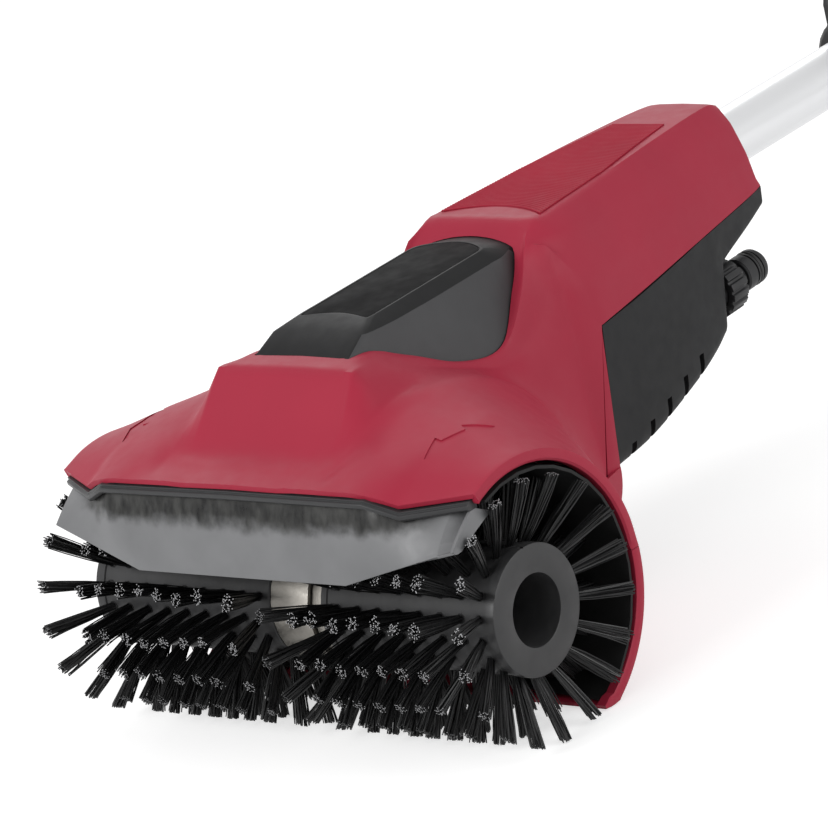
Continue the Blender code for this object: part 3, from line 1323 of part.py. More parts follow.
def trigger_well(pivot):
    """Slot for the trigger and the switch behind it."""
    half = TRIGGER_HALF + 0.0006
    return block((-half, pivot.y - 0.006, LOOP_ROOF_Z - 0.008),
                 (half, pivot.y + TRIGGER_LENGTH + 0.004, pivot.z + SWITCH_SIZE[2] + 0.0036))


def make_trigger(trigger):
    """Trigger blade hinged at its front."""
    pivot = Vector(trigger["origin"])
    outline = rounded([(pivot.y - 0.0045, pivot.z + 0.0020, 0.003),
                       (pivot.y - 0.0045, pivot.z - 0.0050, 0.003),
                       (pivot.y + 0.010, pivot.z - TRIGGER_DROP + 0.004, 0.006),
                       (pivot.y + TRIGGER_LENGTH, pivot.z - TRIGGER_DROP - 0.003, 0.003),
                       (pivot.y + TRIGGER_LENGTH, pivot.z - 0.0090, 0.002),
                       (pivot.y + 0.008, pivot.z + 0.0020, 0.002)], 3)
    piece("trigger", slab(outline, -TRIGGER_HALF, TRIGGER_HALF, "YZ"), trigger, "black")


def make_battery(upper, battery, latch):
    """Dock under the handle, battery that slides off it and its release button."""
    top = HANDLE_BASE_Z - GAP
    low = top - DOCK_HEIGHT
    front = HANDLE_START + DOCK_FRONT
    end = HANDLE_END + 0.0020
    bm = block((-DOCK_HALF, front - DOCK_NOSE, low), (DOCK_HALF, end - 0.020, top), DOCK_EDGE)
    dock = piece("battery_dock", bm, upper, "black")
    rail_low = low - GAP
    neck = RAIL_NECK_HALF
    head = RAIL_HEAD_HALF

    def rail(grow):
        z0 = rail_low - 0.004
        z1 = rail_low + RAIL_NECK_HEIGHT
        z2 = z1 + RAIL_HEAD_HEIGHT + grow
        return [(-neck - grow, z0), (neck + grow, z0), (neck + grow, z1 - grow), (head + grow, z1 - grow),
                (head + grow, z2), (-head - grow, z2), (-head - grow, z1 - grow), (-neck - grow, z1 - grow)]

    cut(dock, slab(rail(GAP * 1.5), front, end + 0.05, "XZ"), upper)
    nose = front - BATTERY_FRONT_REACH
    bm = block((-BATTERY_HALF, nose, FLOOR_Z), (BATTERY_HALF, nose + BATTERY_LENGTH, rail_low), BATTERY_EDGE)
    pack = piece("battery", bm, battery, "dark")
    join(pack, slab(rail(0.0), front + GAP, end - 0.030, "XZ"), battery)
    at = Vector(latch["origin"])
    wide, tall = LATCH_WIDTH / 2, LATCH_HEIGHT / 2
    pocket = block((-wide - GAP, at.y - LATCH_DEPTH - 0.004, at.z - tall - GAP),
                   (wide + GAP, at.y + CUT_EXTRA, at.z + tall + GAP))
    cut(pack, pocket, battery)
    bm = block((-wide, at.y - LATCH_DEPTH, at.z - tall), (wide, at.y + LATCH_PROUD, at.z + tall), 0.0015, 1)
    piece("battery_release", bm, latch, "red")


def main():
    """Build the whole tool and lift it on to the ground."""
    clear_scene()
    root = body("tool", (0, 0, 0))
    roller = body("brush_roller", (0, 0, 0), root)
    drive = body("motor_drive", (0, 0, 0), root)
    nut = body("hose_nut", inlet_point(0.0), root)
    upper = body("upper_pole", (0, CLAMP_START, POLE_Z), root)
    lever = body("pole_lever", (0, CLAMP_START + 0.009, POLE_Z + CLAMP_RADIUS + 0.0050), upper)
    bail = body("front_handle", (0, GRIP_CLAMP_Y, POLE_Z + GRIP_PIVOT_RISE), upper)
    knob = body("handle_knob", (0, GRIP_CLAMP_Y, POLE_Z + GRIP_PIVOT_RISE), upper)
    trigger = body("trigger_lever", (0, HANDLE_START + LOOP_FRONT + 0.008, LOOP_ROOF_Z + 0.0060), upper)
    lock = body("lock_off", (0, HANDLE_START + LOOP_FRONT - 0.004, POLE_Z + 0.0080), upper)
    pack_end = HANDLE_START + DOCK_FRONT - BATTERY_FRONT_REACH + BATTERY_LENGTH
    battery = body("battery_pack", (0, HANDLE_END, HANDLE_BASE_Z - DOCK_HEIGHT), upper)
    latch = body("battery_latch", (0, pack_end, LATCH_LEVEL), battery)
    make_top_shell(root)
    make_rear_hood(root)
    make_badge_cover(root)
    make_liner(root)
    make_lower_shell(root)
    make_splash_guard(root)
    make_gearbox(root)
    make_motor(root, drive)
    make_gears(drive, roller)
    make_roller(roller)
    make_water(root, nut)
    make_pole(root, upper, lever)
    make_front_handle(upper, bail, knob)
    make_rear_handle(upper, trigger, lock, latch, battery)
    front = min(LIP_Y, -TIP_RADIUS)
    rear = max(HANDLE_END, pack_end + LATCH_PROUD)
    root.location = (0, -(front + rear) / 2, -FLOOR_Z)


main()
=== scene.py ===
"""Dressed patio cleaner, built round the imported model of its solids.

Lengths are metres. Pieces are drawn about the brush axis, with X along the brush, Y back
along the pole and Z up, and are then lifted by STAND on to the ground.
"""
from __future__ import annotations

import json
import logging
import math
import random
from collections.abc import Iterable, Sequence
from dataclasses import dataclass, field
from enum import Enum
from typing import NamedTuple

import bmesh
import bpy
import numpy as np
from mathutils import Matrix, Vector
from mathutils.bvhtree import BVHTree

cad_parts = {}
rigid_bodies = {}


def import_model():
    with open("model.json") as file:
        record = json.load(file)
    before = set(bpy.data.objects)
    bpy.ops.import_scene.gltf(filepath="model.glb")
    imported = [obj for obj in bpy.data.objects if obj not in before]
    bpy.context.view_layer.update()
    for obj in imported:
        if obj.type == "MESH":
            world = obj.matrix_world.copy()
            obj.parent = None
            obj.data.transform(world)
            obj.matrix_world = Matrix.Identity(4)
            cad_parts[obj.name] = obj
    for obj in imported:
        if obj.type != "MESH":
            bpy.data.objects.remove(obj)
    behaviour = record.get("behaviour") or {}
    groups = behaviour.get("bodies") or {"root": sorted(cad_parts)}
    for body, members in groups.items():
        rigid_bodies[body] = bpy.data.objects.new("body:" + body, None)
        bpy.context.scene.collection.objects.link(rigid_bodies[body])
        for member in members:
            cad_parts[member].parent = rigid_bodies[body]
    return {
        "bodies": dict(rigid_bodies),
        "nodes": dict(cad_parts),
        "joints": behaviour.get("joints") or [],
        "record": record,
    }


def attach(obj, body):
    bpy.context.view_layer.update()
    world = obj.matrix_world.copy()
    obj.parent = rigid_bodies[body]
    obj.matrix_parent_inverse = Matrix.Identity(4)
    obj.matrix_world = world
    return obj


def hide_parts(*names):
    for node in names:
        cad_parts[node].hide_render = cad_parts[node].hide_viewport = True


LOG = logging.getLogger("patio_cleaner")
STAND = Vector((0.0, -0.4990, 0.0590))
POLE_Z = 0.0886
ROUND = 96
SAME_POINT = 1e-6
SAME_SEAM = 1e-5
SHOWN_EDGE = 32.0
MIRROR = np.array([-1.0, 1.0, 1.0])

Point = tuple[float, float, float]
Pair = tuple[float, float]


class Body(str, Enum):
    """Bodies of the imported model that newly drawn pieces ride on."""

    TOOL = "tool"
    ROLLER = "brush_roller"
    NUT = "hose_nut"
    UPPER = "upper_pole"


class Slot(str, Enum):
    """Material slots of the record."""

    RED = "red_plastic"
    DARK = "dark_plastic"
    BLACK = "black_plastic"
    SMOKE = "smoky_plastic"
    NYLON = "bristle_nylon"
    ALLOY = "gearbox_alloy"
    STEEL = "bright_steel"
    ALUMINIUM = "pole_aluminium"
    RUBBER = "seal_rubber"


class Plane(Enum):
    """Planes that a flat outline may be drawn in, as the order of its axes."""

    YZ = (2, 0, 1)
    XY = (0, 1, 2)


# ---- finishes


class NodePlan:
    """Small writer of material nodes."""

    def __init__(self, name: str) -> None:
        """Start an empty material.

        Args:
            name: Name of the material.
        """
        self.material = bpy.data.materials.new(name)
        self.material.use_nodes = True
        self.tree = self.material.node_tree
        self.shader = self.tree.nodes["Principled BSDF"]
        self.output = self.tree.nodes["Material Output"]
        self.place = self.add("ShaderNodeTexCoord").outputs["Object"]

    def add(self, kind: str, **sockets: object) -> bpy.types.Node:
        """Add a node.

        Args:
            kind: Blender's name of the node type.
            sockets: Values or output sockets for its inputs, by name with _ for a space.

        Returns:
            The new node.
        """
        node = self.tree.nodes.new(kind)
        for name, value in sockets.items():
            self.set(node, name.replace("_", " "), value)
        return node

    def set(self, node: bpy.types.Node, name: str | int, value: object) -> None:
        """Give an input a value, or link an output socket to it.

        Args:
            node: Node that has the input.
            name: Name or number of the input.
            value: Value or output socket.
        """
        if isinstance(value, bpy.types.NodeSocket):
            self.tree.links.new(value, node.inputs[name])
        else:
            node.inputs[name].default_value = value

    def noise(self, scale: float, detail: float = 2.0, stretch: Point = (1, 1, 1)) -> bpy.types.NodeSocket:
        """Noise over the piece.

        Args:
            scale: Lumps to the metre.
            detail: Octaves of finer noise.
            stretch: Factor on each axis, under 1 to draw the lumps out along it.

        Returns:
            Socket with values about 0.5.
        """
        mapped = self.add("ShaderNodeMapping", Vector=self.place, Scale=stretch)
        made = self.add("ShaderNodeTexNoise", Vector=mapped.outputs["Vector"], Scale=scale, Detail=detail)
        return made.outputs["Fac"]

    def spread(self, source: bpy.types.NodeSocket, low: float, high: float) -> bpy.types.NodeSocket:
        """Map the useful middle of a noise to a span.

        Args:
            source: Noise with values about 0.5.
            low: Start of the span.
            high: End of the span.

        Returns:
            Socket with values in the span.
        """
        node = self.add("ShaderNodeMapRange", Value=source, From_Min=0.3, From_Max=0.7, To_Min=low, To_Max=high)
        return node.outputs["Result"]

    def ramp(self, value: bpy.types.NodeSocket, low: float, high: float) -> bpy.types.NodeSocket:
        """Rise softly from 0 to 1.

        Args:
            value: Socket that it follows.
            low: Value at which it is 0.
            high: Value at which it is 1.

        Returns:
            Socket with the share.
        """
        node = self.add("ShaderNodeMapRange", Value=value, From_Min=low, From_Max=high)
        node.interpolation_type = "SMOOTHSTEP"
        return node.outputs["Result"]

    def math(self, operation: str, first: object, second: object = None) -> bpy.types.NodeSocket:
        """Work out one or two values.

        Args:
            operation: Blender's name of the operation.
            first: Value or socket.
            second: Value or socket, if the operation takes two.

        Returns:
            Socket with the result.
        """
        node = self.add("ShaderNodeMath")
        node.operation = operation
        self.set(node, 0, first)
        if second is not None:
            self.set(node, 1, second)
        return node.outputs[0]

    def mix(self, share: bpy.types.NodeSocket | float, first: object, second: object) -> bpy.types.NodeSocket:
        """Blend two colours.

        Args:
            share: 0 for the first colour, 1 for the second.
            first: Colour or socket.
            second: Colour or socket.

        Returns:
            Socket with the blended colour.
        """
        node = self.tree.nodes.new("ShaderNodeMix")
        node.data_type = "RGBA"
        for socket, value in zip((0, 6, 7), (share, first, second)):
            self.set(node, socket, value)
        return node.outputs[2]

    def bump(self, height: bpy.types.NodeSocket, depth: float) -> None:
        """Give the shader the relief of a height map."""
        node = self.add("ShaderNodeBump", Height=height, Distance=depth)
        self.set(self.shader, "Normal", node.outputs["Normal"])


def shade(colour: Point, factor: float) -> tuple[float, float, float, float]:
    """Colour made darker or lighter by a factor, with its alpha."""
    return (*(min(1.0, part * factor) for part in colour), 1.0)


@dataclass(frozen=True)
class Finish:
    """Finish of one sort of surface.

    Attributes:
        name: Name of the material.
        colour: Linear base colour.
        roughness: Mean roughness.
        metallic: 1 for bare metal.
        mottle: Share that the colour varies by.
        mottle_scale: Colour lumps to the metre.
        grain_scale: Grain to the metre.
        grain_depth: Height of the grain.
        rough_spread: Span of the roughness either way.
        draw: Stretch of the grain along each axis.
        specular: Specular level of a plastic.
    """

    name: str
    colour: Point
    roughness: float
    metallic: float = 0.0
    mottle: float = 0.06
    mottle_scale: float = 22.0
    grain_scale: float = 2400.0
    grain_depth: float = 0.000016
    rough_spread: float = 0.05
    draw: Point = (1.0, 1.0, 1.0)
    specular: float = 0.5

    def material(self) -> bpy.types.Material:
        """Return the finish's material, made on first use."""
        found = bpy.data.materials.get(self.name)
        return found if found else self.build().material

    def build(self) -> NodePlan:
        """Write the nodes: mottled colour, uneven roughness and grain.

        Returns:
            The written material.
        """
        plan = NodePlan(self.name)
        plan.set(plan.shader, "Metallic", self.metallic)
        plan.set(plan.shader, "Specular IOR Level", self.specular)
        lumps = plan.noise(self.mottle_scale, detail=3.0, stretch=self.draw)
        colour = plan.mix(plan.spread(lumps, 0.0, 1.0), shade(self.colour, 1 - self.mottle),
                          shade(self.colour, 1 + self.mottle))
        plan.set(plan.shader, "Base Color", colour)
        scuffs = plan.noise(self.mottle_scale * 7, detail=4.0, stretch=self.draw)
        plan.set(plan.shader, "Roughness", plan.spread(scuffs, self.roughness - self.rough_spread,
                                                       self.roughness + self.rough_spread))
        plan.bump(plan.noise(self.grain_scale, stretch=self.draw), self.grain_depth)
        return plan


@dataclass(frozen=True)
class SmokyFinish(Finish):
    """Smoked flap: half clear under its frame, where its colour turns to painted shade with painted streaks of the
    bristles behind it, and frosted below and at its ends.

    Attributes:
        clear_from: Height below which the sheet is frosted.
        clear_to: Height above which it is clearest.
        clear_end: Distance along the brush at which the clear band has ended.
        clear_full: Distance along the brush up to which it is at its clearest.
        through: Share of light let through where it is clearest.
        cloud_scale: Lumps to the metre of the band's wavy edge.
        cloud_depth: Height that the edge waves by, either way.
        streak_scale: Painted streaks of the bristles behind the sheet, to the metre.
        streak_draw: Stretch of the painted streaks, which run down.
        painted_shade_behind: Painted shade between the streaks, for the dark inside of the hood behind the sheet.
        painted_bristle_streaks: Colour of the painted streaks, for the bristles seen through the sheet.
        tint: Colour of the light let through.
    """

    clear_from: float = 0.1085
    clear_to: float = 0.1165
    clear_end: float = 0.1080
    clear_full: float = 0.0900
    through: float = 0.22
    cloud_scale: float = 110.0
    cloud_depth: float = 0.0022
    streak_scale: float = 260.0
    streak_draw: Point = (1.0, 1.0, 0.30)
    painted_shade_behind: Point = (0.006, 0.006, 0.006)
    painted_bristle_streaks: Point = (0.060, 0.060, 0.057)
    tint: Point = (0.40, 0.40, 0.41)

    def build(self) -> NodePlan:
        """Write the nodes: under the frame the colour turns to painted shade with painted streaks of the bristles
        behind, and the share of light let through rises to the frame.

        Returns:
            The written material.
        """
        plan = super().build()
        place = plan.add("ShaderNodeSeparateXYZ", Vector=plan.place)
        cloud = plan.spread(plan.noise(self.cloud_scale, detail=5.0), -self.cloud_depth, self.cloud_depth)
        band = plan.ramp(plan.math("ADD", place.outputs["Z"], cloud), self.clear_from, self.clear_to)
        middle = plan.ramp(plan.math("ABSOLUTE", place.outputs["X"]), self.clear_end, self.clear_full)
        both = plan.math("MULTIPLY", band, middle)
        # Painted streaks of the bristles behind the sheet over painted shade for the dark hood inside, used as the
        # colour of the clear band.
        streaks = plan.spread(plan.noise(self.streak_scale, detail=4.0, stretch=self.streak_draw), 0.0, 1.0)
        dark = plan.mix(streaks, shade(self.painted_shade_behind, 1), shade(self.painted_bristle_streaks, 1))
        frosted = plan.shader.inputs["Base Color"].links[0].from_socket
        plan.set(plan.shader, "Base Color", plan.mix(both, frosted, dark))
        share = plan.math("MULTIPLY", both, self.through)
        clear = plan.add("ShaderNodeBsdfTransparent", Color=shade(self.tint, 1))
        blend = plan.add("ShaderNodeMixShader")
        for socket, source in enumerate((share, plan.shader.outputs[0], clear.outputs[0])):
            plan.set(blend, socket, source)
        plan.set(plan.output, "Surface", blend.outputs[0])
        return plan


RED = Finish("red moulding", (0.350, 0.0215, 0.047), 0.47, mottle=0.035, rough_spread=0.035, specular=0.19)
RED_RIBBED = Finish("red ribbed inlay", (0.330, 0.0200, 0.040), 0.55, mottle=0.05, specular=0.10)
DARK = Finish("dark grey moulding", (0.0180, 0.0182, 0.0190), 0.54, mottle=0.10, specular=0.12)
COVER = Finish("grey grained cover", (0.047, 0.048, 0.050), 0.52, mottle=0.08, grain_scale=1500.0,
               grain_depth=0.00003, specular=0.25)
COVER_TOP = Finish("dark cover top", (0.0125, 0.0126, 0.0132), 0.50, mottle=0.08, specular=0.13)
BLACK = Finish("black moulding", (0.012, 0.012, 0.013), 0.46, mottle=0.15, specular=0.34)
FRAME = Finish("dark flap frame", (0.034, 0.0345, 0.036), 0.38, mottle=0.10, specular=0.30)
LINER = Finish("black inner arch", (0.011, 0.011, 0.011), 0.66, mottle=0.30, specular=0.20)
CORE = Finish("roller core", (0.031, 0.031, 0.032), 0.44, mottle=0.22, mottle_scale=60.0, rough_spread=0.12,
              draw=(1.0, 0.25, 0.25), specular=0.34)
NYLON = Finish("bristle nylon", (0.0070, 0.0070, 0.0074), 0.40, mottle=0.45, mottle_scale=900.0, specular=0.36)
# Light grey on the cut ends of the black bristles is a painted glint on the tips.
PAINTED_TIP_GLINT = Finish("cut bristle ends", (0.36, 0.36, 0.37), 0.55, mottle=0.35, mottle_scale=1600.0)
PLATE = Finish("bare label plate", (0.0055, 0.0055, 0.0058), 0.60, mottle=0.06, grain_depth=0.000004, specular=0.04)
ALLOY = Finish("gearbox alloy", (0.30, 0.285, 0.26), 0.46, 1.0, mottle=0.16, mottle_scale=120.0, grain_scale=1500.0,
               grain_depth=0.00005, rough_spread=0.10)
STEEL = Finish("bright steel", (0.50, 0.50, 0.51), 0.30, 1.0, mottle=0.08, mottle_scale=200.0, draw=(1.0, 1.0, 0.2))
TUBE = Finish("pole aluminium", (0.68, 0.685, 0.695), 0.32, 1.0, mottle=0.03, mottle_scale=60.0, grain_scale=900.0,
              grain_depth=0.000008, draw=(1.0, 0.02, 1.0))
RUBBER = Finish("seal rubber", (0.010, 0.010, 0.010), 0.62, mottle=0.20)
FOAM = Finish("soft grip", (0.020, 0.020, 0.021), 0.75, mottle=0.20, grain_scale=900.0, grain_depth=0.00015)
SMOKE = SmokyFinish("smoky flap", (0.175, 0.177, 0.182), 0.36, mottle=0.10, mottle_scale=38.0, rough_spread=0.08,
                    specular=0.30)


# ---- drawing


def frame_along(origin: Sequence[float], direction: Sequence[float]) -> Matrix:
    """Matrix whose local Z runs along a direction from an origin."""
    turn = Vector(direction).to_track_quat("Z", "Y").to_matrix().to_4x4()
    return Matrix.Translation(Vector(origin)) @ turn


def bridge(bm: bmesh.types.BMesh, low: list, high: list) -> None:
    """Fill the band between two rings of vertices, either of which may be one point.

    Args:
        bm: Mesh to add to.
        low: First ring.
        high: Second ring.
    """
    count = max(len(low), len(high))
    for side in range(count):
        after = (side + 1) % count
        if len(low) == 1:
            bm.faces.new((low[0], high[after], high[side]))
        elif len(high) == 1:
            bm.faces.new((low[side], low[after], high[0]))
        else:
            bm.faces.new((low[side], low[after], high[after], high[side]))


def loft(bm: bmesh.types.BMesh, rings: Sequence[list]) -> bmesh.types.BMesh:
    """Join rings of vertices in order, and close both ends.

    Args:
        bm: Mesh to add to.
        rings: Rings of one length.

    Returns:
        The same mesh.
    """
    for low, high in zip(rings, rings[1:]):
        bridge(bm, low, high)
    bm.faces.new(rings[0])
    bm.faces.new(rings[-1])
    return bm


def lathe(profile: Sequence[Pair], origin: Sequence[float], direction: Sequence[float],
          sides: int = ROUND) -> bmesh.types.BMesh:
    """Revolve a closed outline about an axis.

    Args:
        profile: Corners as (radius, distance along the axis).
        origin: Point on the axis where the distance is 0.
        direction: Direction of the axis.
        sides: Facets round the axis.

    Returns:
        Closed mesh.
    """
    bm = bmesh.new()
    place = frame_along(origin, direction)
    rings = []
    angles = [math.tau * side / sides for side in range(sides)]
    for radius, height in profile:
        if radius < SAME_POINT:
            rings.append([bm.verts.new(place @ Vector((0, 0, height)))])
            continue
        rings.append([bm.verts.new(place @ Vector((radius * math.cos(a), radius * math.sin(a), height)))
                      for a in angles])
    for low, high in zip(rings, rings[1:] + rings[:1]):
        if len(low) > 1 or len(high) > 1:
            bridge(bm, low, high)
    return bm


def rod(radius: float, start: Sequence[float], end: Sequence[float], sides: int = 32) -> bmesh.types.BMesh:
    """Solid round bar between two points."""
    length = (Vector(end) - Vector(start)).length
    return lathe([(0, 0), (radius, 0), (radius, length), (0, length)], start, Vector(end) - Vector(start), sides)


def prism(outline: Sequence[Pair], low: float, high: float, plane: Plane) -> bmesh.types.BMesh:
    """Extrude a flat outline.

    Args:
        outline: Corners in the plane.
        low: Start of the extrusion on the axis across the plane.
        high: End of the extrusion.
        plane: Plane of the outline.

    Returns:
        Closed mesh.
    """
    bm = bmesh.new()
    rings = []
    for depth in (low, high):
        corners = [(a, b, depth) for a, b in outline]
        rings.append([bm.verts.new([corner[axis] for axis in plane.value]) for corner in corners])
    return loft(bm, rings)


def block(low: Sequence[float], high: Sequence[float]) -> bmesh.types.BMesh:
    """Box between two corners.

    Args:
        low: Corner with the lowest coordinates.
        high: Corner with the highest.

    Returns:
        Closed mesh.
    """
    bm = bmesh.new()
    size = Vector(high) - Vector(low)
    middle = (Vector(high) + Vector(low)) / 2
    bmesh.ops.create_cube(bm, size=1.0, matrix=Matrix.Translation(middle) @ Matrix.Diagonal((*size, 1)))
    return bm


def inset(outline: Sequence[Pair], distance: float) -> list[Pair]:
    """Move each point of an outline inward, along the normal there.

    Args:
        outline: Closed outline.
        distance: Distance inward, or outward where it is negative.

    Returns:
        Points of the new outline.
    """
    points = []
    count = len(outline)
    for index, point in enumerate(outline):
        along = (Vector(outline[(index + 1) % count]) - Vector(outline[index - 1])).normalized()
        points.append((point[0] - along.y * distance, point[1] + along.x * distance))
    return points


def spline(points: Sequence, steps: int, breaks: Iterable[int] = ()) -> np.ndarray:
    """Curve smoothly through points, or through rows of points.

    Args:
        points: Points to pass through, first index along the curve.
        steps: Points made for each span.
        breaks: Indices at which the curve may have a corner.

    Returns:
        Array of the finer points.
    """
    grid = np.array(points, float)
    marks = [0, *sorted(breaks), len(grid) - 1]
    out = []
    for first, last in zip(marks, marks[1:]):
        part = grid[first:last + 1]
        padded = np.concatenate([2 * part[:1] - part[1:2], part, 2 * part[-1:] - part[-2:-1]])
        for index in range(len(part) - 1):
            a, b, c, d = padded[index:index + 4]
            for step in range(steps):
                t = step / steps
                out.append(0.5 * (2 * b + (c - a) * t + (2 * a - 5 * b + 4 * c - d) * t ** 2
                                  + (3 * b - a - 3 * c + d) * t ** 3))
    out.append(grid[-1])
    return np.array(out)


def divide_rows(rows: Sequence[Sequence[float]], step: float) -> list[tuple[float, ...]]:
    """Divide straight spans between rows of numbers.

    Args:
        rows: Rows whose first number runs on.
        step: Longest span left in the first number.

    Returns:
        The rows with those put between.
    """
    fine = []
    for low, high in zip(rows, rows[1:]):
        count = max(1, math.ceil(abs(high[0] - low[0]) / step))
        fine += [tuple(a + (b - a) * part / count for a, b in zip(low, high)) for part in range(count)]
    return [*fine, tuple(rows[-1])]


def closed_curve(corners: Sequence[Sequence[float]], steps: int) -> list[Point]:
    """Smooth closed curve through the right half of a loop and its mirror image.

    Args:
        corners: Points from the middle in front to the middle behind.
        steps: Points made for each span.

    Returns:
        Points of the whole loop.
    """
    loop = [*corners, *((-x, *rest) for x, *rest in corners[-2:0:-1])]
    fine = spline([loop[-1], *loop, *loop[:2]], steps)
    return [tuple(point) for point in fine[steps:steps * (len(loop) + 1)]]


def skin(grid: np.ndarray) -> bmesh.types.BMesh:
    """Cover rows and columns of points with quads.

    Args:
        grid: Points, by row and column.

    Returns:
        Open mesh.
    """
    bm = bmesh.new()
    rows = [[bm.verts.new(point) for point in row] for row in grid]
    for low, high in zip(rows, rows[1:]):
        for side in range(len(low) - 1):
            bm.faces.new((low[side], low[side + 1], high[side + 1], high[side]))
    return bm


def mirrored_skin(*grids: np.ndarray) -> bmesh.types.BMesh:
    """Skins over the right halves of a piece and over their mirror images."""
    return together(*(skin(half) for grid in grids for half in (grid, grid * MIRROR)))


def sweep(path: Sequence[Point], radius: float, sides: int) -> bmesh.types.BMesh:
    """Round tube along a path, with closed ends.

    Args:
        path: Points of the centre line.
        radius: Radius of the tube.
        sides: Facets round the tube.

    Returns:
        Closed mesh.
    """
    bm = bmesh.new()
    points = [Vector(point) for point in path]
    angles = [math.tau * side / sides for side in range(sides)]
    rings = []
    for index, point in enumerate(points):
        ahead = points[min(index + 1, len(points) - 1)] - points[max(index - 1, 0)]
        place = frame_along(point, ahead)
        rings.append([bm.verts.new(place @ Vector((radius * math.cos(a), radius * math.sin(a), 0)))
                      for a in angles])
    return loft(bm, rings)


def together(*parts: bmesh.types.BMesh) -> bmesh.types.BMesh:
    """Gather several meshes in one.

    Args:
        parts: Meshes, which are used up.

    Returns:
        The whole mesh.
    """
    whole = bmesh.new()
    for bm in parts:
        mesh = bpy.data.meshes.new("part")
        bm.to_mesh(mesh)
        bm.free()
        whole.from_mesh(mesh)
        bpy.data.meshes.remove(mesh)
    return whole


def teeth(count: int, low: float, high: float, low_share: float, high_share: float) -> list[Pair]:
    """Closed outline of straight-sided ribs round a circle.

    Args:
        count: Ribs round the circle.
        low: Radius between the ribs.
        high: Radius over the ribs.
        low_share: Half width of a rib at its foot, as a share of the pitch.
        high_share: Half width at its top.

    Returns:
        Points of the outline.
    """
    pitch = 2 * math.pi / count
    points = []
    for rib in range(count):
        for radius, share in ((low, -low_share), (high, -high_share), (high, high_share), (low, low_share)):
            angle = (rib + share) * pitch
            points.append((radius * math.cos(angle), radius * math.sin(angle)))
    return points


def ring_prism(outline: Sequence[Pair], hole: float, low: float, high: float,
               place: Matrix) -> bmesh.types.BMesh:
    """Extrude an outline round a round hole.

    Args:
        outline: Outer outline about the origin.
        hole: Radius of the hole.
        low: Start of the extrusion.
        high: End of the extrusion.
        place: Matrix that puts it in position.

    Returns:
        Closed mesh.
    """
    bm = bmesh.new()
    levels = []
    for z in (low, high):
        outer = [bm.verts.new((x, y, z)) for x, y in outline]
        inner = [bm.verts.new((hole * x / math.hypot(x, y), hole * y / math.hypot(x, y), z)) for x, y in outline]
        levels.append((outer, inner))
    bridge(bm, levels[0][0], levels[1][0])
    bridge(bm, levels[0][1], levels[1][1])
    for outer, inner in levels:
        bridge(bm, outer, inner)
    bm.transform(place)
    return bm


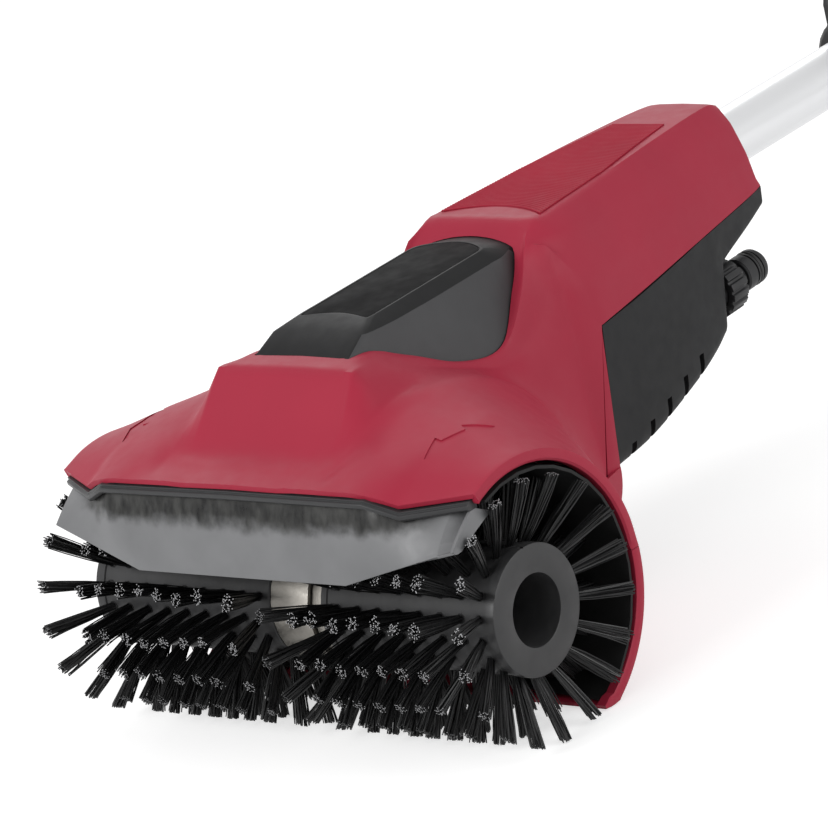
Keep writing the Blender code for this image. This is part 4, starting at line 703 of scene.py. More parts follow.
class Bench:
    """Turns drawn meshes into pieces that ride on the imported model."""

    def __init__(self, frame: dict) -> None:
        """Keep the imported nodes, and a place for the shading steps that pieces share."""
        self.nodes = frame["nodes"]
        self.shading = {}

    def soft_shading(self, degrees: float) -> bpy.types.NodeTree:
        """Step that shades smooth across edges flatter than an angle.

        Args:
            degrees: Angle from which an edge shows.

        Returns:
            The shared node group.
        """
        if degrees in self.shading:
            return self.shading[degrees]
        group = bpy.data.node_groups.new(f"soften under {degrees:g}", "GeometryNodeTree")
        for way in ("INPUT", "OUTPUT"):
            group.interface.new_socket("Geometry", in_out=way, socket_type="NodeSocketGeometry")
        nodes, links = group.nodes, group.links
        come, go = nodes.new("NodeGroupInput"), nodes.new("NodeGroupOutput")
        angle = nodes.new("GeometryNodeInputMeshEdgeAngle")
        flat = nodes.new("FunctionNodeCompare")
        flat.operation = "LESS_THAN"
        flat.inputs[1].default_value = math.radians(degrees)
        faces, edges = (nodes.new("GeometryNodeSetShadeSmooth") for _ in range(2))
        edges.domain = "EDGE"
        links.new(angle.outputs[0], flat.inputs[0])
        links.new(come.outputs[0], faces.inputs["Geometry"])
        links.new(faces.outputs[0], edges.inputs["Geometry"])
        links.new(flat.outputs[0], edges.inputs["Shade Smooth"])
        links.new(edges.outputs[0], go.inputs[0])
        self.shading[degrees] = group
        return group

    def soften(self, piece: bpy.types.Object, degrees: float) -> None:
        """End a piece's modifiers with the shading step."""
        step = piece.modifiers.new("soften", "NODES")
        step.node_group = self.soft_shading(degrees)

    def round_edges(self, piece: bpy.types.Object, width: float) -> None:
        """Give sharp edges the small radius that a moulding has.

        Args:
            piece: Piece that gets it.
            width: Radius.
        """
        step = piece.modifiers.new("round edges", "BEVEL")
        step.width = width
        step.segments = 3
        step.limit_method = "ANGLE"
        step.angle_limit = math.radians(SHOWN_EDGE)
        step.use_clamp_overlap = True

    def cut(self, piece: bpy.types.Object, bm: bmesh.types.BMesh) -> None:
        """Cut a drawn solid out of a piece.

        Args:
            piece: Piece that it is cut out of.
            bm: Closed mesh, which is used up.
        """
        tool = self.raw("cutter", bm)
        tool.hide_render = True
        tool.hide_viewport = True
        step = piece.modifiers.new("cut", "BOOLEAN")
        step.operation = "DIFFERENCE"
        step.solver = "EXACT"
        step.object = tool

    def raw(self, name: str, bm: bmesh.types.BMesh) -> bpy.types.Object:
        """Turn a drawn mesh into an object that stands on the ground.

        Args:
            name: Name of the object.
            bm: Mesh about the brush axis, which is used up.

        Returns:
            The object.
        """
        bmesh.ops.remove_doubles(bm, verts=bm.verts, dist=SAME_POINT)
        bmesh.ops.recalc_face_normals(bm, faces=bm.faces)
        mesh = bpy.data.meshes.new(name)
        bm.to_mesh(mesh)
        bm.free()
        mesh.transform(Matrix.Translation(STAND))
        mesh.shade_smooth()
        made = bpy.data.objects.new(name, mesh)
        bpy.context.scene.collection.objects.link(made)
        return made

    def piece(self, name: str, bm: bmesh.types.BMesh, body: Body, finish: Finish, slot: Slot,
              replaces: Sequence[str] = (), edge: float = 0.0, degrees: float = 30.0,
              cuts: Sequence[bmesh.types.BMesh] = (), wall: float = 0.0) -> bpy.types.Object:
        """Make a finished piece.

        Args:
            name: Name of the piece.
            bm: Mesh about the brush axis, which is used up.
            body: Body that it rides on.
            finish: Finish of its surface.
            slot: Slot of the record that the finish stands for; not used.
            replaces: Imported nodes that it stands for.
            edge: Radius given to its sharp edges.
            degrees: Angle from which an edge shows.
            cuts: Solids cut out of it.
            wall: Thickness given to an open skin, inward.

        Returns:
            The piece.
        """
        made = self.raw(name, bm)
        made.data.materials.append(finish.material())
        if wall:
            step = made.modifiers.new("wall", "SOLIDIFY")
            step.thickness = wall
            step.offset = -1
        for solid in cuts:
            self.cut(made, solid)
        if edge:
            self.round_edges(made, edge)
        self.soften(made, degrees)
        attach(made, body.value)
        if replaces:
            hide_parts(*replaces)
        LOG.info("%s rides on %s", name, body.value)
        return made

    def dress(self, finish: Finish, slot: Slot, *names: str, edge: float = 0.0) -> None:
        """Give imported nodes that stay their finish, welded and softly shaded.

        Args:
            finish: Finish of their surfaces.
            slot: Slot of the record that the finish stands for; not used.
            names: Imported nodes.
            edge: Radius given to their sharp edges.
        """
        for name in names:
            node = self.nodes[name]
            shaded = node.data.attributes.get("custom_normal")
            if shaded:
                node.data.attributes.remove(shaded)
            node.data.materials.clear()
            node.data.materials.append(finish.material())
            weld = node.modifiers.new("weld", "WELD")
            weld.merge_threshold = SAME_SEAM
            if edge:
                self.round_edges(node, edge)
            self.soften(node, SHOWN_EDGE)
            LOG.info("%s keeps its own shape", name)


# ---- hood and neck

class Station(NamedTuple):
    """Right half of one section of the middle body, from its middle down to its foot."""

    y: float
    z: float
    half: float
    shoulder: Point
    side: Point
    foot: Point


@dataclass
class Hood:
    """Red shells of the hood and neck, their liner and what is moulded into them."""

    bench: Bench
    end: float = 0.1196
    rim: float = 0.0637
    rim_outer: float = 0.0692
    rim_return: float = 0.0040
    clear: float = 0.0609
    reach: float = 0.0310
    swell: float = 0.0210
    body_half: float = 0.0500
    lip_y: float = -0.0467
    lip_z: float = 0.0722
    dip_x: float = 0.0903
    dip_y: float = -0.0412
    dip_z: float = 0.0647
    lip_angle: float = math.radians(111)
    inlay_front: float = 0.1660
    inlay_rear: float = 0.2720
    inlay_bow: float = 0.0085
    inlay_widths: tuple[Pair, ...] = ((0.1650, 0.0300), (0.2150, 0.0258), (0.2720, 0.0155))
    inlay_across: tuple[float, float, int] = (-0.97, 0.97, 13)
    inlay_lift: float = 0.00010
    inlay_wall: float = 0.0006
    rib_pitch: float = 0.0017
    rib: tuple[Pair, ...] = ((0.0, 0.0), (0.35, 0.00038), (0.60, 0.00038), (0.92, 0.0))
    groove: float = 0.00042
    groove_gap: float = 0.0006
    arrow_depth: float = 0.0006
    arrow_height: float = 0.0020
    arrow_step: float = 1.5
    arrow_shares: tuple[float, ...] = (0.0, 0.25, 0.5, 0.75, 1.0)
    arrow_start: float = 0.010
    arrow_rows: tuple[Point, ...] = (
        (111.9, 0.0876, 0.0880), (102.7, 0.0832, 0.0935), (102.1, 0.0868, 0.0939), (99.5, 0.0877, 0.0955),
        (95.5, 0.0890, 0.0935), (91.9, 0.0902, 0.0947), (91.6, 0.0866, 0.0948), (86.1, 0.0917, 0.0961),
        (85.3, 0.0924, 0.0977), (80.8, 0.0965, 0.0967),
    )
    wall: float = 0.0024
    ridge: float = 0.0016
    ridge_start: float = 0.060
    dip_run: float = 0.014
    lip_sag: float = 0.0005
    rows: int = 10
    crown_end: float = 75.0
    crown_rise: float = 30.0
    lip_rows: int = 3
    lip_pull: float = 0.525
    crown_fall: float = 0.0004
    row_steps: int = 7
    column_steps: int = 5
    smoothing: float = 0.5
    shown_edge: float = 38.0
    tube_hole: float = 0.0143
    skirt_y: float = 0.0245
    seam_gap: float = 0.0003
    bowl_pinch: float = 0.0017
    bowl_wall: float = 0.0014
    bowl_steps: int = 24
    bowl_edge: tuple[Pair, ...] = ((0.0349, 0.0579), (0.0315, 0.0582), (0.0282, 0.0581), (0.0250, 0.0576))
    liner_gap: float = 0.0034
    liner_squeeze: float = 0.955
    liner_wall: float = 0.0008
    liner_end: float = 0.0030
    bowl_sweep: float = math.radians(57)
    strip: float = 0.0110
    strip_drop: float = 0.0020
    strip_gap: float = 0.0006
    strip_inset: float = 0.0002
    strip_top: tuple[Pair, ...] = ((0.0004, 0.0020), (0.0007, 0.0035))
    seam_top: Pair = (0.1580, 0.0650)
    seam_front: float = 0.1380
    arch_columns: tuple[float, ...] = (0.0580, 0.0700, 0.0820, 0.0903, 0.1000, 0.1100, 0.1188)
    stations: tuple[Station, ...] = tuple(Station(*row) for row in (
        (-0.0467, 0.0722, 0.0280, (0.0360, -0.0467, 0.0722), (0.0420, -0.0467, 0.0722), (0.0480, -0.0467, 0.0722)),
        (-0.0330, 0.0745, 0.0280, (0.0370, -0.0330, 0.0744), (0.0430, -0.0330, 0.0743), (0.0490, -0.0320, 0.0742)),
        (-0.0190, 0.0800, 0.0335, (0.0405, -0.0190, 0.0798), (0.0455, -0.0180, 0.0800), (0.0500, -0.0160, 0.0805)),
        (0.0050, 0.1055, 0.0330, (0.0390, 0.0050, 0.1050), (0.0440, 0.0055, 0.0985), (0.0500, 0.0040, 0.0880)),
        (0.0280, 0.1050, 0.0300, (0.0350, 0.0280, 0.1010), (0.0420, 0.0270, 0.0960), (0.0490, 0.0240, 0.0890)),
        (0.0500, 0.0955, 0.0290, (0.0350, 0.0500, 0.0930), (0.0405, 0.0480, 0.0893), (0.0480, 0.0440, 0.0875)),
        (0.0760, 0.0815, 0.0330, (0.0382, 0.0760, 0.0802), (0.0415, 0.0740, 0.0782), (0.0480, 0.0700, 0.0785)),
        (0.1030, 0.0785, 0.0345, (0.0388, 0.1030, 0.0762), (0.0412, 0.1040, 0.0690), (0.0480, 0.0960, 0.0615)),
        (0.1280, 0.0985, 0.0310, (0.0385, 0.1215, 0.0925), (0.0412, 0.1320, 0.0810), (0.0495, 0.1200, 0.0380)),
        (0.1470, 0.1175, 0.0300, (0.0340, 0.1370, 0.1122), (0.0410, 0.1455, 0.1090), (0.0500, 0.1380, 0.0000)),
    ))
    neck: tuple[Station, ...] = tuple(Station(*row) for row in (
        (0.1600, 0.1185, 0.0315, (0.0400, 0.1600, 0.1095), (0.0475, 0.1600, 0.0860), (0.0500, 0.1580, 0.0650)),
        (0.2000, 0.1185, 0.0285, (0.0355, 0.2000, 0.1090), (0.0425, 0.2000, 0.0880), (0.0465, 0.2000, 0.0675)),
        (0.2550, 0.1185, 0.0230, (0.0295, 0.2550, 0.1085), (0.0362, 0.2550, 0.0890), (0.0400, 0.2550, 0.0705)),
        (0.3000, 0.1172, 0.0180, (0.0240, 0.3000, 0.1070), (0.0298, 0.3000, 0.0895), (0.0335, 0.3000, 0.0722)),
        (0.3130, 0.1136, 0.0160, (0.0222, 0.3130, 0.1048), (0.0278, 0.3130, 0.0893), (0.0310, 0.3130, 0.0730)),
    ))

    @property
    def dip_start(self) -> float:
        """Distance along the brush at which the lip starts to dip."""
        return self.dip_x - self.dip_run

    def share(self, x: float) -> float:
        """Share of the way in from the end of the hood to the middle body."""
        return (self.end - abs(x)) / (self.end - self.body_half)

    def centre(self, x: float) -> float:
        """Y of the middle of the wheel arch at a distance along the brush."""
        return self.reach * (self.end - abs(x)) / (self.end - self.body_half)

    def radius(self, x: float) -> float:
        """Radius of the wheel arch, with the soft ridge above the dip of the lip.

        Args:
            x: Distance along the brush.

        Returns:
            The radius.
        """
        bump = np.interp(abs(x), (self.ridge_start, self.dip_x, self.end), (0.0, self.ridge, 0.0))
        return self.rim_outer + self.swell * self.share(x) ** 1.25 + float(bump)

    def lip(self, x: float) -> Pair:
        """Front edge of the hood.

        Args:
            x: Distance along the brush.

        Returns:
            Its Y and Z there.
        """
        end_y = self.rim_outer * math.cos(self.lip_angle)
        end_z = self.rim_outer * math.sin(self.lip_angle)
        reaches = (0.0, self.dip_start, self.dip_x, self.end)
        y = np.interp(abs(x), reaches, (self.lip_y, self.lip_y, self.dip_y, end_y))
        z = np.interp(abs(x), reaches, (self.lip_z, self.lip_z - self.lip_sag, self.dip_z, end_z))
        return float(y), float(z)

    def arch(self, x: float) -> list[Point]:
        """Section of the hood at one x, from the lip back to the seam.

        Args:
            x: Distance along the brush.

        Returns:
            One point for each row.
        """
        centre, radius = self.centre(x), self.radius(x)
        crown = math.radians(self.crown_end + self.crown_rise * self.share(x))
        joint = Vector((centre + radius * math.cos(crown), radius * math.sin(crown)))
        lip = Vector(self.lip(x))
        pull = joint + Vector((-math.sin(crown), math.cos(crown))) * self.lip_pull * (joint - lip).length
        points = []
        for step in range(self.lip_rows):
            t = step / self.lip_rows
            points.append(lip * (1 - t) ** 2 + pull * 2 * t * (1 - t) + joint * t ** 2)
        arc_rows = self.rows - self.lip_rows
        for step in range(arc_rows):
            angle = crown * (1 - step / (arc_rows - 1))
            points.append(Vector((centre + radius * math.cos(angle), radius * math.sin(angle))))
        return [(x, point.x, point.y) for point in points]

    def middle(self, station: Station) -> list[Point]:
        """Points of the right half of a section of the middle body."""
        shoulder_z = station.z - self.crown_fall
        return [(0.0, station.y, station.z), (station.half, station.y, shoulder_z), station.shoulder, station.side,
                station.foot]

    def half_skin(self) -> tuple[np.ndarray, np.ndarray]:
        """Outer surface of the right half.

        Returns:
            Grid of the middle body and neck, and grid of the wheel arch.
        """
        body_rows = np.array([self.middle(station) for station in self.stations + self.neck])
        brow, last = 3, len(self.stations) - 1
        crisp = ((brow,), (brow,), (brow, last), (brow, last), (last, last + 1))
        columns = [spline(body_rows[:, column], self.row_steps, joints) for column, joints in enumerate(crisp)]
        body = np.array(columns).swapaxes(0, 1)
        arch = np.array([self.arch(x) for x in self.arch_columns]).swapaxes(0, 1)
        hood = spline(arch, self.row_steps)
        foot = body[:len(hood), -1:]
        dip = 1 + self.arch_columns.index(self.dip_x)
        arch_grid = spline(np.concatenate([foot, hood], axis=1).swapaxes(0, 1), self.column_steps, (dip,))
        body_grid = spline(body.swapaxes(0, 1), self.column_steps, (1, 2, 3))
        return self.with_end(body_grid.swapaxes(0, 1)), self.with_rim(arch_grid.swapaxes(0, 1))

    def with_rim(self, grid: np.ndarray) -> np.ndarray:
        """Turn the end of the arch inward to the rim round the brush.

        Args:
            grid: Points of the arch, by row and column.

        Returns:
            The grid with the columns of the rim.
        """
        edge = grid[:, -1]
        reach = np.hypot(edge[:, 1], edge[:, 2])[:, None]
        depth = self.rim_outer - self.rim
        rounds = ((0.0005, 0.0002), (0.0008, 0.0008), (0.0008, depth - 0.0007), (0.0004, depth),
                  (-self.rim_return, depth))
        columns = [grid]
        for out, down in rounds:
            column = edge.copy()
            column[:, 0] += out
            column[:, 1:] *= np.minimum(reach, np.maximum(reach - down, self.clear)) / reach
            columns.append(column[:, None])
        return np.concatenate(columns, axis=1)

    def with_end(self, grid: np.ndarray) -> np.ndarray:
        """Close the back of the neck down to the hole for the pole.

        Args:
            grid: Points of the neck, by row and column.

        Returns:
            The grid with the rows of the end wall.
        """
        edge = grid[-1]
        rows = [grid]
        away = edge[:, [0, 2]] - np.array([0.0, POLE_Z])
        away /= np.linalg.norm(away, axis=1)[:, None]
        for share in (0.5, 1.0):
            row = edge.copy()
            row[:, 0] = edge[:, 0] * (1 - share) + away[:, 0] * self.tube_hole * share
            row[:, 2] = edge[:, 2] * (1 - share) + (POLE_Z + away[:, 1] * self.tube_hole) * share
            rows.append(row[None])
        return np.concatenate(rows)

    def on_arch(self, x: float, degrees: float, proud: float = 0.0) -> Vector:
        """Point on the wheel arch.

        Args:
            x: Distance along the brush.
            degrees: Angle up from straight back.
            proud: Height over the arch.

        Returns:
            The point.
        """
        radius = self.radius(x) + proud
        angle = math.radians(degrees)
        return Vector((x, self.centre(x) + radius * math.cos(angle), radius * math.sin(angle)))

    def arrow(self, shell: bmesh.types.BMesh, side: int) -> bmesh.types.BMesh:
        """Shallow recess in the shape of a bent arrow with two heads, on one fender.

        Args:
            shell: Outer skin that it is sunk into.
            side: 1 for the right fender, -1 for the left.

        Returns:
            Thin solid to be cut out of the shell.
        """
        tree = BVHTree.FromBMesh(shell)
        bm = bmesh.new()
        rings = []
        for degrees, near, far in divide_rows(self.arrow_rows, self.arrow_step):
            outer, inner = [], []
            for share in self.arrow_shares:
                x = near + (far - near) * share
                start = self.on_arch(x, degrees, self.arrow_start)
                away = (start - self.on_arch(x, degrees)).normalized()
                start.x *= side
                hit = tree.ray_cast(start, -away)[0]
                outer.append(bm.verts.new(hit + away * self.arrow_height))
                inner.append(bm.verts.new(hit - away * self.arrow_depth))
            rings.append(outer + inner[::-1])
        return loft(bm, rings)

    def inlay_point(self, across: float, y: float, lift: float = 0.0) -> Point:
        """Point on the inlay of the neck.

        Args:
            across: Share of its half width, -1 to 1.
            y: Distance back along its middle.
            lift: Height over the neck.

        Returns:
            The point.
        """
        half = float(np.interp(y, *zip(*self.inlay_widths)))
        fade = (self.inlay_rear - y) / (self.inlay_rear - self.inlay_front)
        at = y - self.inlay_bow * fade * across ** 2
        line = spline([(station.y, station.z) for station in (*self.stations[-2:], *self.neck)], self.row_steps)
        return across * half, at, float(np.interp(at, line[:, 0], line[:, 1])) + lift

    def make_inlay(self) -> None:
        """Finely ribbed panel let into the top of the neck."""
        rows = []
        y = self.inlay_front
        while y < self.inlay_rear:
            for share, lift in self.rib:
                rows.append([self.inlay_point(across, y + share * self.rib_pitch, self.inlay_lift + lift)
                             for across in np.linspace(*self.inlay_across)])
            y += self.rib_pitch
        self.bench.piece("neck_inlay", skin(np.array(rows)), Body.TOOL, RED_RIBBED, Slot.RED, wall=self.inlay_wall)

    def inlay_groove(self) -> bmesh.types.BMesh:
        """Fine groove round the inlay.

        Returns:
            Thin tube to be cut out of the shell.
        """
        front, rear = self.inlay_front - self.groove_gap, self.inlay_rear + self.groove_gap
        sides = np.linspace(front, rear, 24)
        path = [self.inlay_point(across, front) for across in np.linspace(-0.94, 1.0, 16)]
        path += [self.inlay_point(1.0, y) for y in sides[1:]]
        path += [self.inlay_point(across, rear) for across in np.linspace(0.9, -0.9, 10)]
        path += [self.inlay_point(-1.0, y) for y in sides[::-1]]
        return sweep(path, self.groove, 6)

    def build(self, pocket: bmesh.types.BMesh) -> None:
        """Make the upper shell, the rear bowl, the liner and the inlay.

        Args:
            pocket: Solid of the badge cover, grown by its gap, to be cut out.
        """
        shell = mirrored_skin(*self.half_skin())
        bmesh.ops.remove_doubles(shell, verts=shell.verts, dist=SAME_SEAM)
        inside = [vert for vert in shell.verts if not vert.is_boundary]
        bmesh.ops.smooth_vert(shell, verts=inside, factor=self.smoothing, use_axis_x=True, use_axis_y=True,
                              use_axis_z=True)
        marks = (self.arrow(shell, 1), self.arrow(shell, -1), self.inlay_groove())
        self.bench.piece("upper_shell", shell, Body.TOOL, RED, Slot.RED, ("top_shell",), wall=self.wall,
                         cuts=(pocket, *marks), degrees=self.shown_edge)
        self.make_inlay()
        self.make_bowl()
        self.make_strips()
        self.bench.dress(LINER, Slot.BLACK, "hood_liner")

    def bowl_section(self) -> list[Pair]:
        """Outline of the bowl at its rim, from the seam down to its turned-in lower edge.

        Returns:
            Points as distance back from the brush axis and distance below it.
        """
        points = []
        for step in range(self.bowl_steps + 1):
            share = step / self.bowl_steps
            radius = self.rim_outer - self.bowl_pinch * share ** 2
            angle = self.bowl_sweep * share
            points.append((radius * math.cos(angle), radius * math.sin(angle)))
        return [*points, *self.bowl_edge]

    def make_bowl(self) -> None:
        """Lower rear half of the hood, with its black liner."""
        half = [0.0, 0.025, self.body_half - 0.0001, *self.arch_columns]
        reach = self.rim_outer - self.skirt_y
        grid = []
        for across, down in self.bowl_section():
            line = []
            for x in half:
                back = self.seam_front + self.strip if x < self.body_half else self.centre(x) + self.radius(x)
                y = self.skirt_y + (back - self.skirt_y) * (across - self.skirt_y) / reach
                line.append((x, y, -down - self.seam_gap))
            grid.append(line)
        fine = spline(np.array(grid).swapaxes(0, 1), 4, (2,)).swapaxes(0, 1)
        inner = fine[:-2, fine[0, :, 0] < self.end - self.liner_end].copy()
        inner[:, :, 1] -= self.liner_gap
        inner[:, :, 2] = inner[:, :, 2] * self.liner_squeeze - self.seam_gap
        self.bench.piece("lower_liner", mirrored_skin(inner), Body.TOOL, LINER, Slot.BLACK, wall=self.liner_wall)
        self.bench.piece("rear_bowl", mirrored_skin(self.with_rim(fine)), Body.TOOL, RED, Slot.RED, ("rear_hood",),
                         wall=self.bowl_wall)

    def make_strips(self) -> None:
        """Two upright strips that stand between the bowl and the belly, one on each side."""
        top_y, top_z = self.seam_top
        outline = [(self.seam_front + self.strip_gap, -self.strip_drop),
                   (self.seam_front + self.strip - self.seam_gap, -self.strip_drop),
                   *((top_y - back, top_z - down) for back, down in self.strip_top)]
        for side, name in ((-1, "strip_left"), (1, "strip_right")):
            low, high = sorted(side * (self.body_half - inward) for inward in (self.wall, self.strip_inset))
            self.bench.piece(name, prism(outline, low, high, Plane.YZ), Body.TOOL, RED, Slot.RED, edge=0.0003)


@dataclass
class Badge:
    """Grey cover let into the hood, with its bare plate."""

    bench: Bench
    top: float = 0.1142
    floor: float = 0.0720
    side_top: float = 0.1088
    gap: float = 0.0007
    curve_steps: int = 3
    rim: float = 0.0012
    recess: Pair = (-0.0006, 0.0010)
    plate_gap: float = 0.0003
    plate_span: Pair = (-0.0010, -0.0001)
    top_edge: tuple[Pair, ...] = (
        (0.0, 0.0460), (0.0110, 0.0442), (0.0188, 0.0418), (0.0209, 0.0432), (0.0210, 0.0560), (0.0210, 0.0680),
        (0.0210, 0.0800), (0.0210, 0.0920), (0.0210, 0.1030), (0.0210, 0.1120), (0.0210, 0.1190), (0.0204, 0.1245),
        (0.0170, 0.1282), (0.0090, 0.1320), (0.0, 0.1336),
    )
    bevel_edge: tuple[Point, ...] = (
        (0.0, 0.0330, 0.1126), (0.0130, 0.0320, 0.1124), (0.0225, 0.0300, 0.1118), (0.0266, 0.0320, 0.1110),
        (0.0270, 0.0500, 0.1096), (0.0270, 0.0660, 0.1092), (0.0270, 0.0800, 0.1090), (0.0270, 0.0940, 0.1090),
        (0.0270, 0.1060, 0.1090), (0.0270, 0.1150, 0.1090), (0.0271, 0.1230, 0.1090), (0.0270, 0.1300, 0.1090),
        (0.0235, 0.1390, 0.1100), (0.0125, 0.1450, 0.1114), (0.0, 0.1470, 0.1120),
    )
    base_edge: tuple[Point, ...] = (
        (0.0, 0.0176, 0.1056), (0.0150, 0.0175, 0.1055), (0.0245, 0.0172, 0.1052), (0.0280, 0.0190, 0.1043),
        (0.0310, 0.0440, 0.0964), (0.0335, 0.0620, 0.0890), (0.0362, 0.0790, 0.0799), (0.0372, 0.0915, 0.0767),
        (0.0369, 0.1040, 0.0776), (0.0356, 0.1135, 0.0822), (0.0332, 0.1215, 0.0895), (0.0298, 0.1305, 0.1005),
        (0.0245, 0.1420, 0.1090), (0.0130, 0.1476, 0.1110), (0.0, 0.1496, 0.1118),
    )

    def solid(self, grow: float) -> bmesh.types.BMesh:
        """Stacked loops of the cover, grown all round.

        Args:
            grow: Distance outward.

        Returns:
            Closed mesh, whose grained sides have the second material.
        """
        flat = [(x, y, self.top + grow) for x, y in self.top_edge]
        sunk = [(x, y, self.floor) for x, y, _ in self.base_edge]
        bm = bmesh.new()
        rings = []
        for corners in (flat, self.bevel_edge, self.base_edge, sunk):
            loop = closed_curve(corners, self.curve_steps)
            wide = inset([point[:2] for point in loop], -grow)
            rings.append([bm.verts.new((x, y, point[2])) for (x, y), point in zip(wide, loop)])
        loft(bm, rings)
        bm.normal_update()
        for face in bm.faces:
            is_side = abs(face.normal.x) > abs(face.normal.y) and face.calc_center_median().z < self.side_top
            face.material_index = int(is_side)
        return bm

    def build(self) -> None:
        """Make the cover and the bare plate on its face."""
        cover = self.bench.piece("cover", self.solid(0.0), Body.TOOL, COVER_TOP, Slot.DARK, ("badge_cover",),
                                 edge=0.0007, cuts=(self.plate(self.rim, *self.recess),))
        cover.data.materials.append(COVER.material())
        self.bench.piece("label_plate", self.plate(self.rim + self.plate_gap, *self.plate_span), Body.TOOL, PLATE,
                         Slot.BLACK, edge=0.0002)

    def plate(self, inward: float, low: float, high: float) -> bmesh.types.BMesh:
        """Bare plate, or the recess for it.

        Args:
            inward: Distance in from the edge of the cover's face.
            low: Under side, from the cover's face.
            high: Upper side, from the cover's face.

        Returns:
            Closed mesh.
        """
        loop = closed_curve(self.top_edge, self.curve_steps)
        half = max(x for x, _ in loop)
        front, rear = min(y for _, y in loop), max(y for _, y in loop)
        middle, reach = (front + rear) / 2, (rear - front) / 2
        outline = [(x * (1 - inward / half), middle + (y - middle) * (1 - inward / reach)) for x, y in loop]
        return prism(outline, self.top + low, self.top + high, Plane.XY)


@dataclass
class Guard:
    """Smoky splash guard and the dark frame that holds it."""

    bench: Bench
    hood: Hood
    centre_half: float = 0.0600
    end: float = 0.1146
    bottom_y: float = -0.0522
    bottom_z: float = 0.0308
    end_back: float = 0.0093
    end_rise: float = 0.0146
    thickness: float = 0.0016
    frame_height: float = 0.0046
    frame_section: tuple[Pair, ...] = ((-0.0006, 0.0), (0.0050, 0.0), (0.0050, 1.0), (0.0004, 1.0), (-0.0014, 0.72),
                                       (-0.0016, 0.34), (-0.0002, 0.26))
    frame_inner: tuple[float, ...] = (0.0, 0.03, 0.06)
    frame_outer: Pair = (0.0990, 0.1070)
    frame_lift: float = 0.0005
    drop: float = 0.0034
    hold_back: float = 0.0030
    hold_up: float = 0.0015
    bulge: float = 0.0010
    levels: tuple[float, ...] = (0.0, 0.2, 0.45, 0.7, 0.9, 0.97, 1.0)
    fold: Point = (0.0012, 0.0095, -0.0050)
    fold_foot: float = 0.12
    frame_end: float = 0.0032

    def build(self) -> None:
        """Make the flap, with its folded ends, and the bent frame above it."""
        grid = []
        xs = sorted({*np.linspace(0, self.centre_half, 9), *np.linspace(self.centre_half, self.end, 9),
                     self.hood.dip_x, self.hood.dip_start})
        for x in [-x for x in reversed(xs[1:])] + xs:
            lip_y, lip_z = self.hood.lip(x)
            share = max(0.0, (abs(x) - self.centre_half) / (self.end - self.centre_half))
            top = Vector((x, lip_y + self.hold_back, lip_z - self.drop - self.frame_height + self.hold_up))
            foot = Vector((x, self.bottom_y + self.end_back * share, self.bottom_z + self.end_rise * share))
            line = []
            for level in self.levels:
                point = top.lerp(foot, level)
                point.y -= self.bulge * math.sin(math.pi * level)
                line.append(tuple(point))
            grid.append(line)
        for at, side in ((0, -1), (len(grid), 1)):
            fold = np.array([side * self.fold[0], *self.fold[1:]])
            shares = np.linspace(1.0, self.fold_foot, len(grid[0]))[:, None]
            grid.insert(at, (np.array(grid[0 if side < 0 else -1]) + fold * shares).tolist())
        self.bench.piece("flap", skin(np.array(grid)), Body.TOOL, SMOKE, Slot.SMOKE, ("splash_guard",),
                         wall=self.thickness, edge=0.0004)
        self.make_frame()

    def make_frame(self) -> None:
        """Dark frame that follows the lip, with a rib along its face."""
        bm = bmesh.new()
        rings = []
        reach = self.hood.end - self.frame_end
        half = [*self.frame_inner, self.hood.dip_start, self.hood.dip_x, *self.frame_outer, reach]
        for x in [-x for x in reversed(half[1:])] + half:
            y, z = self.hood.lip(x)
            z -= self.drop - self.frame_lift
            rings.append([bm.verts.new((x, y + back, z - self.frame_height * down))
                          for back, down in self.frame_section])
        self.bench.piece("flap_frame", loft(bm, rings), Body.TOOL, FRAME, Slot.BLACK, ("guard_frame",), edge=0.0003)


# ---- brush


@dataclass
class Bristles:
    """Mesh of bristles gathered so far, with the numbers of the faces that are cut ends."""

    verts: list[Vector] = field(default_factory=list)
    faces: list[tuple[int, ...]] = field(default_factory=list)
    ends: list[int] = field(default_factory=list)


